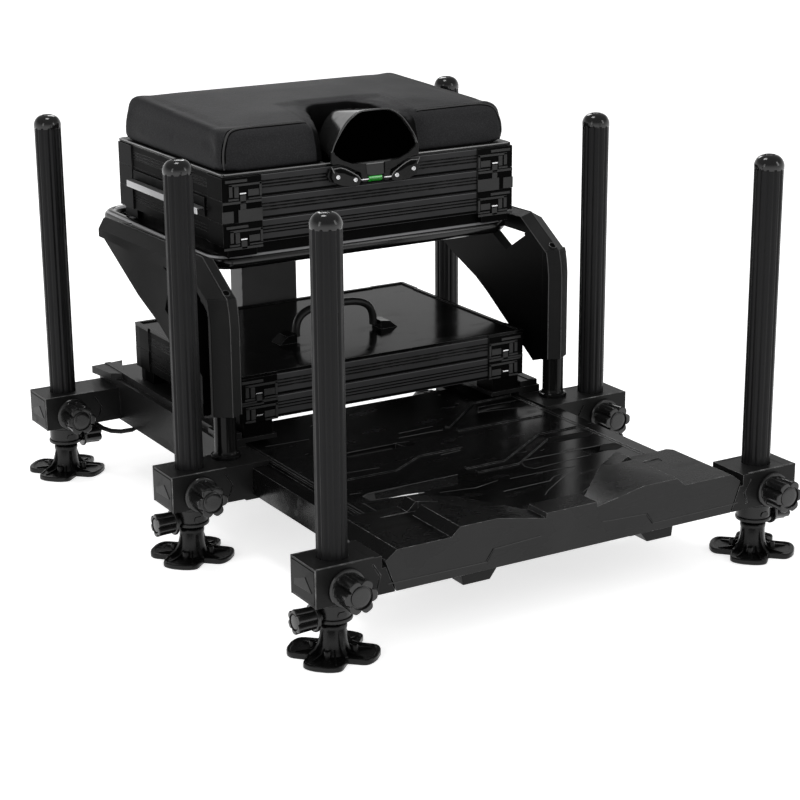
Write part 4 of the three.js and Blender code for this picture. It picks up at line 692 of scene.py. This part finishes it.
# near-black walls under the lowest seat tray, set back behind its feet, as painted shade
low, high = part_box("upper_tray_bottom")
set_back, wall, shade_wall_foot, shade_wall_top = 12, 3, 353, 378.6
x, y0, y1 = high.x / mm - set_back, low.y / mm + set_back, high.y / mm - set_back
across_wall = [(-x, shade_wall_foot), (x, shade_wall_foot), (x, shade_wall_top), (-x, shade_wall_top)]
along_wall = [(y0 + wall, shade_wall_foot), (y1 - wall, shade_wall_foot), (y1 - wall, shade_wall_top), (y0 + wall, shade_wall_top)]
piece("tray_shade_wall", "frame", painted_shade_black, together(
    prism(across_wall, y0, y0 + wall, "xz"), prism(across_wall, y1 - wall, y1, "xz"),
    prism(along_wall, x - wall, x, "yz"), prism(along_wall, -x, wall - x, "yz")))

# ---- drawer
# A shallow moulded drawer that slides out to the left between the trays.
# A folded pull of satin alloy runs along its face, fixed from inside.
dress("side_drawer", moulded("drawer_face", 0.003, 0.42, 0.0009, 0.00008, 0.02), tray_edge, 0.6 * mm)


def brushed(name, tone, rough):
    """Satin alloy with brush lines along Y and a few dull patches."""
    material, shader, place = finish(name, rough, metal=0.9)
    lines, patch = place.noise(0.0007, 3, (1, 90, 1)), place.noise(0.03, 4)
    feed(shader, base=(lines * 0.5 + patch * 0.5).tint((tone * 0.75,) * 3, (tone, tone, tone * 1.02)),
         rough=patch * 0.14 + lines * 0.1 + (rough - 0.1), bump=(lines, 0.00003))
    return material


dress("drawer_handle", brushed("silver_pull", 0.5, 0.32), brushed("silver_pull_edge", 0.66, 0.28), 0.7 * mm)

# ---- low lid
# A flat moulded lid with a raised rim, paler along its edges, partly rubbed and partly as a painted highlight, and
# hinged at the rear of the low stack.
# Two wedge blocks on it hold the handle's pins.
dress("lower_lid", moulded("low_lid_plastic", 0.002, 0.16, 0.002, 0.00002, 0.08), worn_and_highlit_edge("low_lid_edge", 0.06),
      1 * mm)

# ---- footplate
# A glossy moulded plate scuffed by boots, which slides into the chassis with the front legs.
# Fine raised lines, painted pale as highlights, and wells drawn as near-black sheets of painted shade break up its top
# between the ridges.
plate_gloss = moulded("scuffed_footplate", 0.002, 0.22, 0.0014, 0.00004, 0.25)
dress("footplate", plate_gloss, worn_and_highlit_edge("footplate_edge", 0.06, 0.22), 0.8 * mm)
plate_y, plate_top = -378.6, 118  # the front row of legs, from which the lines are measured, and the plate's top
line_half, line_rise = 0.8 * mm, 0.5 * mm  # half the width of a fine line, and how far it stands up
plate_lines = [[(60, 164), (183, 162), (202, 160)], [(57, 160), (51, 143), (57, 130), (149, 137)],
               [(-119, 309), (-35, 309), (-21, 306)], [(-15, 343), (39, 345)], [(-25, 326), (42, 325)],
               [(-157, 241), (-107, 236)], [(-177, 156), (-166, 161), (-37, 162)], [(-188, 169), (-173, 167)],
               [(-189, 133), (-189, 85), (-138, 85)], [(-205, 52), (-183, 65), (-128, 63)], [(-186, 46), (-148, 48)],
               [(-15, 238), (16, 240)], [(10, 115), (86, 113), (105, 110)], [(-23, 80), (46, 82)],
               [(46, 81), (60, 92), (76, 96)], [(12, 42), (26, 55), (102, 108)], [(56, 25), (149, 85), (189, 86)],
               [(-91, 117), (-44, 109), (-7, 117)], [(-98, 48), (-24, 6)], [(123, 364), (147, 361), (187, 352)],
               [(-191, 387), (-128, 384)]]
plate_lines += [[(hand * x, 60), (hand * x, 470)] for hand in (-1, 1) for x in (205, 210)]
plate_wells = [[(129, 206), (145, 221), (196, 219), (203, 212), (199, 203), (188, 200), (137, 201)],
               [(182, 161), (203, 158), (208, 151), (202, 141), (190, 136), (168, 144)],
               [(189, 378), (206, 376), (208, 366), (200, 357), (188, 354), (174, 360)],
               [(-41, 153), (-24, 154), (-19, 146), (-24, 134), (-33, 129), (-46, 142)],
               [(-26, 306), (-19, 303), (-19, 293), (-28, 287), (-33, 295)],
               [(-168, 140), (-97, 129), (-57, 129), (-40, 158), (-160, 157)]]
# the fine lines are raised bars painted paler than the plate as highlights
pale_line_highlight = moulded("plate_line", 0.022, 0.22, 0.001, 0.00003, 0.3)
piece("plate_fine_lines", "footplate_unit", pale_line_highlight, together(*[
    swept([Vector((x * mm, (plate_y + y) * mm, plate_top * mm)) for x, y in line], line_half, line_rise,
          Vector((0, 0, 1)), 10) for line in plate_lines]))
# the wells are near-black sheets of painted shade
piece("plate_wells", "footplate_unit", moulded("well_shadow", 0.0015, 0.5, 0.001, 0.00003, 0.05),
      together(*[prism([(x, plate_y + y) for x, y in well], plate_top - 0.5, plate_top + 0.12)
                 for well in plate_wells[:-1]]))
piece("plate_pocket", "footplate_unit", moulded("pocket_gloss", 0.006, 0.25, 0.001, 0.00003, 0.3),
      prism([(x, plate_y + y) for x, y in plate_wells[-1]], plate_top - 0.5, plate_top + 0.16))

# ---- cover
# A satin moulding over the front beam, screwed to it from below, whose two tabs show under it.
# It has a step along its foot, a slanted slit at each end drawn as painted shade, and a pale skyline, partly rubbed
# wear and partly a painted highlight; its front is painted lighter than its tops, as light and shade.
cover_satin, shader, place = finish("satin_cover", 0.3, specular=0.16)
top_facing_shade = place.node("ShaderNodeNewGeometry", None, None, "Normal").along("Z").ramp(0.35, 0.8)
cloud, scuff = place.noise(0.06, 3), place.noise(0.016, 5, (4, 1, 1))
# faces that look up are painted near black and the others paler: painted shade and painted light; the scuffs are wear
feed(shader, base=((1 - top_facing_shade) * (cloud * 0.5 + 0.5) + scuff.ramp(0.62, 0.8) * 0.12).tint((0.003,) * 3, (0.036,) * 3),
     rough=cloud * 0.14 + scuff.ramp(0.5, 0.7) * 0.1 + 0.2, bump=(place.noise(0.001, 2), 0.00006))
dress("footplate_cover", cover_satin, worn_and_highlit_edge("cover_edge", 0.18, 0.26), 1.4 * mm)
cover_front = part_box("footplate_cover")[0].y
foot_line = [(44, 101), (110, 98), (121, 84), (252, 85)]
for side, hand in sides.items():
    # the line along the cover's step is a pale bar painted as a highlight
    piece(f"{side}_cover_foot_line", "footplate_unit", pale_line_highlight,
          swept([Vector((hand * x * mm, cover_front, z * mm)) for x, z in foot_line], line_half, line_rise,
                Vector((0, -1, 0)), 10))
    # each slit is a near-black sheet of painted shade
    piece(f"{side}_cover_slit", "footplate_unit", painted_shade_black,
          prism([(hand * x, z) for x, z in ((108.5, 98.5), (111.5, 98.5), (122, 84), (119, 84))],
                cover_front / mm - 0.3, cover_front / mm + 1, "xz"))
    piece(f"{side}_beam_tab", "footplate_unit", coat,
          prism([(hand * x, z) for x, z in ((103, 75), (153, 75), (151, 60.5), (114, 60.5))],
                cover_front / mm + 1.5, cover_front / mm + 26, "xz"), round_edge=1.2 * mm)

# ---- cushion
# Foam under a fine-grained black coated cloth, drawn down over the seat board. The front and rear panels are
# set in with a double seam, and a scoop in the middle of the front leaves room for the cup.
scoop_half, scoop_depth, scoop_edge = 74 * mm, 98 * mm, 84 * mm


def fuller(point, normal, low):
    """The pad where it stands a little proud of its solid: a skin's thickness, and more along its seamed edges."""
    x, y, z = normal
    beside, behind = abs(point.x) - scoop_half, point.y - low.y - scoop_depth
    scoop = min(1, max(0, beside / (10 * mm), behind / (15 * mm)))

    def edge(a, b):
        """0 on a face across either axis, and most on the rounding between them."""
        return 4 * a * a * b * b / max(0.0001, (a * a + b * b) ** 2) * (a * a + b * b)

    # in millimetres: the skin, the upright corners, the front or rear edge, and the side edges
    out = 2.6 + 6 * edge(x, y) + ((7 if y < 0 else 3) * edge(y, z) + 5.5 * edge(x, z) if z > 0 else 0)
    return point + Vector((x, y, max(z, 0))) * out * scoop * mm


def stuffed(node, voxel, start, pressure, reach):
    """The CAD cushion as a new mesh: shrunk a little, blown up as cloth from 1 to 20, and held within its reach."""
    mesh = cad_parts[node].data.copy()
    made = bpy.data.objects.new(f"stuffed_{node}", mesh)
    bpy.context.scene.collection.objects.link(made)
    made.modifiers.new("weld", "WELD").merge_threshold = 0.00001
    remesh = made.modifiers.new("remesh", "REMESH")
    remesh.mode, remesh.voxel_size = "VOXEL", voxel

    def settle():
        """Applies the modifiers."""
        graph = bpy.context.evaluated_depsgraph_get()
        graph.update()
        fresh = bpy.data.meshes.new_from_object(made.evaluated_get(graph))
        made.modifiers.clear()
        made.data = fresh

    settle()
    base = min(point.co.z for point in made.data.vertices)
    normals = [point.normal.copy() for point in made.data.vertices]
    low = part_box(node)[0]
    rest = [fuller(point.co.copy(), point.normal, low) for point in made.data.vertices]
    held = made.vertex_groups.new(name="held")
    for k, point in enumerate(made.data.vertices):
        if rest[k].z < base + 4 * mm:
            held.add([k], 1, "REPLACE")
        else:
            point.co = rest[k] - normals[k] * start
    cloth = made.modifiers.new("cloth", "CLOTH")
    cloth.settings.use_pressure, cloth.settings.uniform_pressure_force = True, pressure
    cloth.settings.vertex_group_mass = "held"
    cloth.settings.effector_weights.gravity = 0
    cloth.settings.quality = 6
    cloth.settings.tension_stiffness = cloth.settings.compression_stiffness = 30
    for step in range(1, 21):
        bpy.context.scene.frame_set(step)
    settle()
    bpy.context.scene.frame_set(1)
    for k, point in enumerate(made.data.vertices):
        move = point.co - rest[k]
        if move.length > reach:
            point.co = rest[k] + move * (reach / move.length)
        point.co.z = max(point.co.z, base)
    made.data.materials.clear()
    made.data.shade_smooth()
    smooth = made.modifiers.new("even", "SMOOTH")
    smooth.iterations, smooth.factor = 3, 0.3
    settle()
    made.modifiers.new("fine", "SUBSURF").render_levels = 1
    made.modifiers["fine"].levels = 1
    return made


def coated_cloth():
    """Fine-grained coated cloth: a pebbled grain, soft sheen along folds, and slow tone changes; painted shade inside
    the scoop.
    """
    material, shader, place = finish("black_coated_cloth", 0.62, specular=0.07)
    grain = place.node("ShaderNodeTexVoronoi", {"feature": "SMOOTH_F1"}, {"Vector": place, "Scale": 1 / 0.0013})
    cloud, fleck = place.noise(0.06, 4), place.noise(0.0014, 2)
    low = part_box("seat_cushion")[0]
    across_face = 1 - place.node("ShaderNodeNewGeometry", None, None, "Normal").along("Z").ramp(0.5, 0.9)
    beside, behind = scoop_half + 3 * mm, low.y + scoop_depth + 4 * mm
    # painted shade: faces inside the scoop that do not look up are near black
    scoop = (abs(place.along("X")) < beside) * (place.along("Y") < behind) * across_face
    pile = (cloud * 0.4 + fleck.ramp(0.4, 0.7) * 0.6).tint((0.021, 0.021, 0.022), (0.042, 0.042, 0.044))
    feed(shader, base=scoop.tint(pile, (0.003, 0.003, 0.003)),
         rough=cloud * 0.14 + 0.52, bump=(grain * 0.7 + place.noise(0.005, 2) * 0.9, 0.0003))
    return material


cloth_finish = coated_cloth()
cushion = stuffed("seat_cushion", voxel=4 * mm, start=0.8 * mm, pressure=4.0, reach=1.2 * mm)
cushion.name = "upholstered_cushion"
cushion.data.materials.append(cloth_finish)
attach(cushion, "seat")
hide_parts("seat_cushion")

# piping between two sunk seams where the front and rear panels meet the top and the sides: the seams are near-black
# threads of painted shade, the piping a little paler as a painted highlight
low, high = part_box("seat_cushion")
piping = moulded("seat_piping", 0.05, 0.5, 0.0012, 0.0001, 0.2)
seam_shadow = moulded("seam_painted_shade", 0.002, 0.7, 0.0012, 0.00008, 0.02)
bpy.context.view_layer.update()
skin = BVHTree.FromObject(cushion, bpy.context.evaluated_depsgraph_get())
# the seams' way over the pad is found by shots aimed this far inside its faces and its corners, and this high up
face_in, corner_in, aim = 40 * mm, 42 * mm, 28 * mm


def seam(name, points, radius, material):
    """A thread of that radius through points, sewn to the cushion."""
    curve = bpy.data.curves.new(name, "CURVE")
    curve.dimensions, curve.bevel_depth, curve.bevel_resolution, curve.resolution_u = "3D", radius, 2, 3
    spline = curve.splines.new("NURBS")
    spline.points.add(len(points) - 1)
    for mark, point in zip(spline.points, points):
        mark.co = (*point, 1)
    spline.use_endpoint_u, spline.order_u = True, 3
    curve.materials.append(material)
    made = bpy.data.objects.new(name, curve)
    bpy.context.scene.collection.objects.link(made)
    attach(made, "seat")


for end, face in (("front", -1), ("rear", 1)):
    y = (low.y if face < 0 else high.y) - face * face_in
    for side, hand in sides.items():
        # shots at the edge: up the corner, round it, then along the top to the scoop or the middle
        shots = [((hand * (high.x - face_in), y, low.z + z * mm), (hand, face, 0)) for z in (3, 12, 20, 28)]
        shots += [((hand * (high.x - corner_in), y, low.z + aim),
                  (hand * math.cos(a) ** 0.6, face, math.sin(a) ** 0.6))
                  for a in (math.radians(15 * k) for k in range(1, 6))]
        inner_x = scoop_edge if face < 0 else 0
        reach = high.x - corner_in - inner_x
        shots += [((hand * (inner_x + reach * (1 - k / 12)), y, low.z + aim), (0, face, 1)) for k in range(1, 13)]
        path = []
        for target, direction in shots:
            out = Vector(direction).normalized()
            place, normal, _, _ = skin.ray_cast(Vector(target) + out * 0.3, -out)
            if place:
                path.append((place, normal))
        for part, offset, radius, sink in (("piping", 0, 1.3, -0.2), ("upper_seam", 2.3, 1.0, 0.25),
                                           ("lower_seam", -2.3, 1.0, 0.25)):
            points = []
            for k, (place, normal) in enumerate(path):
                along = path[min(k + 1, len(path) - 1)][0] - path[max(k - 1, 0)][0]
                beside = along.cross(normal).normalized() * offset * mm
                points.append(skin.find_nearest(place + beside)[0] - normal * sink * mm)
            seam(f"{end}_{side}_{part}", points, radius * mm, piping if part == "piping" else seam_shadow)

# ---- pole cup
# A one-piece glossy moulding with a rolled rim. Its chin folds forward on a steel pin through the bracket,
# which is screwed to the top tray and carries a green level vial.
# pale bars along the edges of the chin tab, the bracket's ears and the seat board are painted highlights
pale_edge_highlight = moulded("edge_painted_highlight", 0.2, 0.2, 0.002, 0.00002, 0.6)
cup_gloss = moulded("glossy_cup", 0.014, 0.14, 0.0012, 0.00002, 1.0)
low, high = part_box("seat_lid")
cup_y = low.y - 9 * mm  # the plane of the rim
# the right half of the cup's outline from its crown to its foot, in shares of its half width and its height
half_shares = [(0.13, 1), (0.34, 0.985), (0.5, 0.91), (0.66, 0.79), (0.83, 0.58), (0.955, 0.38), (1, 0.2), (0.9, 0.07),
               (0.62, 0.005), (0.3, 0)]
section = half_shares + [(-u, v) for u, v in reversed(half_shares)]


def curve_through(points, steps):
    """A closed smooth curve through points in a plane."""
    count, made = len(points), []
    for i in range(count):
        p0, p1, p2, p3 = (Vector(points[(i + k) % count]) for k in (-1, 0, 1, 2))
        for t in (k / steps for k in range(steps)):
            made.append(0.5 * (2 * p1 + (p2 - p0) * t + (2 * p0 - 5 * p1 + 4 * p2 - p3) * t ** 2
                               + (3 * p1 - p0 - 3 * p2 + p3) * t ** 3))
    return made


cup_outline = curve_through(section, 6)
cup_half, cup_height, cup_depth, cup_foot = 66, 71.5, 92, 466
narrowing, lowering, foot_rise = 0.42, 0.26, 5  # from the rim to the closed end


def cup_ring(along, inset=0.0, spread=1.0):
    """A ring of the cup so far behind the rim plane, in shares of its depth."""
    w, h = cup_half * (1 - narrowing * along) - inset, cup_height * (1 - lowering * along) - 2 * inset
    z0 = cup_foot + inset + foot_rise * along
    return [(u * w * spread * mm, cup_y + cup_depth * along * mm, (z0 + h * (0.5 + (v - 0.5) * spread)) * mm)
            for u, v in cup_outline]


cup = loft([cup_ring(1, 0, 0.3), cup_ring(1, 0, 0.8), cup_ring(0.99, 0, 0.92), cup_ring(0.96, 0, 0.98),
            *[cup_ring(a) for a in (0.92, 0.75, 0.5, 0.3, 0.15, 0.06, 0.022)],
            cup_ring(0.006, 0.25), cup_ring(0, 0.9), cup_ring(0, 1.8), cup_ring(0.008, 2.6), cup_ring(0.03, 3),
            *[cup_ring(a, 3) for a in (0.15, 0.4, 0.7, 0.9)],
            cup_ring(0.945, 3.4, 0.96), cup_ring(0.965, 4, 0.85), cup_ring(0.967, 4, 0.3)])
# the right half of the chin plate
chin_right = [(12.5, 450), (12.5, 443), (14, 442), (19, 442), (21, 443.5), (21.5, 448), (22.5, 455.5), (31.5, 459.5),
              (40.5, 464.2), (49.5, 468), (57.5, 470), (64.5, 469.6), (66.2, 473), (66.2, 487), (61.8, 487),
              (60.3, 483), (49.6, 474.8), (35, 469), (15, 467.2), (9, 467)]
chin_front, chin_back = cup_y / mm - 1.5, cup_y / mm + 2.5
chin = prism(chin_right + [(-x, z) for x, z in reversed(chin_right)], chin_front, chin_back, "xz")
rim_path = [Vector((x, cup_y - 0.4 * mm, z)) for x, y, z in cup_ring(0, 1.2)]
rim_radius = 0.8 * mm
rim = swept(rim_path + rim_path[:2], rim_radius, rim_radius, Vector((0, -1, 0)), 10)
piece("rolled_rim_cup", "cup", cup_gloss, cup, ["pole_cup"], sharp=50)
# the rim's thin bar is paler than the cup as a painted highlight
piece("cup_rim", "cup", moulded("rim_painted_highlight", 0.06, 0.2, 0.001, 0.00003, 0.5), rim)
piece("chin_tab", "cup", clip_plastic,
      prism([(-15, 466.3), (11, 466.3), (11.6, 452), (8, 450.6), (-8, 450.6), (-14, 453.5)],
            chin_front - 0.8, chin_front + 1, "xz"), round_edge=0.4 * mm)
piece("tab_line", "cup", pale_edge_highlight,
      prism([(-15, 466.2), (11, 466.2), (11, 467), (-15, 467)], chin_front - 1.2, chin_front, "xz"))
# the slit is a near-black sheet of painted shade
piece("tab_slit", "cup", painted_shade_black,
      prism([(12.1, 451.5), (13.6, 451.5), (13.6, 466.4), (12.1, 466.4)], chin_front - 0.3, chin_front + 1, "xz"))
# the inside of the cup is lined with a near-black sheet of painted shade
piece("cup_inside_shade_sheet", "cup", moulded("cup_inside_painted_shade", 0.0003, 0.8, 0.0012, 0.00003, 0.0), loft([
    cup_ring(0.03, 3.3), *[cup_ring(a, 3.4) for a in (0.15, 0.4, 0.7, 0.88)], cup_ring(0.93, 4.5),
    cup_ring(0.93, 4.5, 0.3)]), sharp=50)
piece("cup_chin", "cup", moulded("cup_chin_plastic", 0.01, 0.3, 0.001, 0.00005, 0.15), chin,
      round_edge=1 * mm)

# bracket under the cup: two leaf-shaped ears with a pale edge painted as a highlight and two screws each, a steel pin
# and the vial
ear_front, edge_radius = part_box("cup_bracket")[0].y, 0.55 * mm
pin_z, pin_radius = 446.4 * mm, 1.5 * mm
dress("cup_bracket", moulded("bracket_plastic", 0.006, 0.3, 0.0009, 0.00006, 0.2), worn_and_highlit_edge("bracket_edge", 0.02, 0.3),
      0.6 * mm)
ear_edge = [(66.5, 467.5), (62.6, 459), (64.3, 464.8), (53.5, 465.6), (46.5, 463.2), (39.5, 459.6), (27, 451.8),
            (22.8, 446.2)]
ear_body = ear_edge[2:] + [(25, 440.5), (31.5, 438.6), (50.3, 440.6), (62.5, 446), (65.8, 453)]
ear_well = [(61, 463.8), (61.5, 461.5), (56.5, 458.8), (48, 457.5), (38, 452.8), (30.5, 450.8), (29.5, 452.2),
            (39.5, 458), (46.5, 461.6), (53.5, 464)]
for side, hand in sides.items():
    piece(f"{side}_bracket_ear", "frame",
          moulded(f"{side}_ear_plastic", 0.012, 0.26, 0.001, 0.00003, 0.15),
          prism([(hand * x, z) for x, z in ear_body], ear_front / mm - 2.2, ear_front / mm + 1, "xz"),
          round_edge=0.7 * mm)
    piece(f"{side}_ear_edge", "frame", pale_edge_highlight,
          swept([Vector((hand * x * mm, ear_front - 2.3 * mm, z * mm)) for x, z in ear_edge], edge_radius, edge_radius,
                Vector((0, -1, 0)), 10))
    # the ear's well is a near-black sheet of painted shade
    piece(f"{side}_ear_well", "frame", painted_shade_black,
          prism([(hand * x, z) for x, z in ear_well], ear_front / mm - 2.45, ear_front / mm - 1, "xz"))
    for k, (x, z) in enumerate(((57.2, 453.4), (31.4, 447.4))):
        at = Matrix.Translation((hand * x * mm, ear_front - 2.1 * mm, z * mm)) @ to_front
        piece(f"{side}_ear_screw_{k}", "frame", steel,
              turned([(0.1, -1), (3.1, -1), (3.1, 0.5), (2.7, 1), (1.5, 1.1), (1.2, 0.4), (0.1, 0.4)], 24), (), at)
piece("bracket_pins", "frame", steel, together(*[
    swept([Vector((hand * x * mm, ear_front - 1.6 * mm, pin_z)) for x in (12, 22.5)], pin_radius, pin_radius,
          Vector((0, 0, 1)), 16) for hand in (-1, 1)]))
green, shader, place = finish("green_vial", 0.16, specular=0.5, coat=0.6)
highlight_z = 448.6  # a highlight painted along the vial just above its middle
# painted highlight: paler green in a band along the vial
vial_highlight = abs(place.along("Z") * 1000 - highlight_z).ramp(1.2, 0.2)
feed(shader, base=vial_highlight.tint((0.006, 0.28, 0.01), (0.2, 0.9, 0.25)))
dress("level_vial", green, green, 0.5 * mm)
piece("vial_cap", "frame", moulded("dark_vial_cap", 0.004, 0.3, 0.001, 0.00002), placed(
    turned([(0.1, -1.2), (4.8, -1.2), (5.2, -0.6), (5.2, 0.8), (4.8, 1.4), (0.1, 1.4)], 24),
    Matrix.Translation((10.4 * mm, ear_front + 1.8 * mm, pin_z)) @ to_x))

# ---- seat board
# A thin moulded board that closes the top tray and carries the cushion, hinged at the rear.
# A pale line painted as a highlight runs round its edge.
dress("seat_lid", moulded("seat_board_plastic", 0.006, 0.4, 0.0009, 0.00008, 0.15), worn_and_highlit_edge("seat_board_edge", 0.02),
      0.6 * mm)
low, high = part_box("seat_lid")
highlight_corner, highlight_radius, highlight_path = 7 * mm, 0.9 * mm, []
for quarter, (x, y) in enumerate(((high.x, high.y), (low.x, high.y), (low.x, low.y), (high.x, low.y))):
    centre = Vector((x - math.copysign(highlight_corner, x), y - math.copysign(highlight_corner, y - (low.y + high.y) / 2),
                     high.z - 0.6 * mm))
    highlight_path += [centre + highlight_corner * Vector((math.cos(a), math.sin(a), 0))
                  for a in [(quarter + k / 5) * math.pi / 2 for k in range(6)]]
piece("board_edge_highlight", "seat", pale_edge_highlight,
      swept([*highlight_path, highlight_path[0], highlight_path[1]], highlight_radius, highlight_radius, Vector((0, 0, 1)), 10))
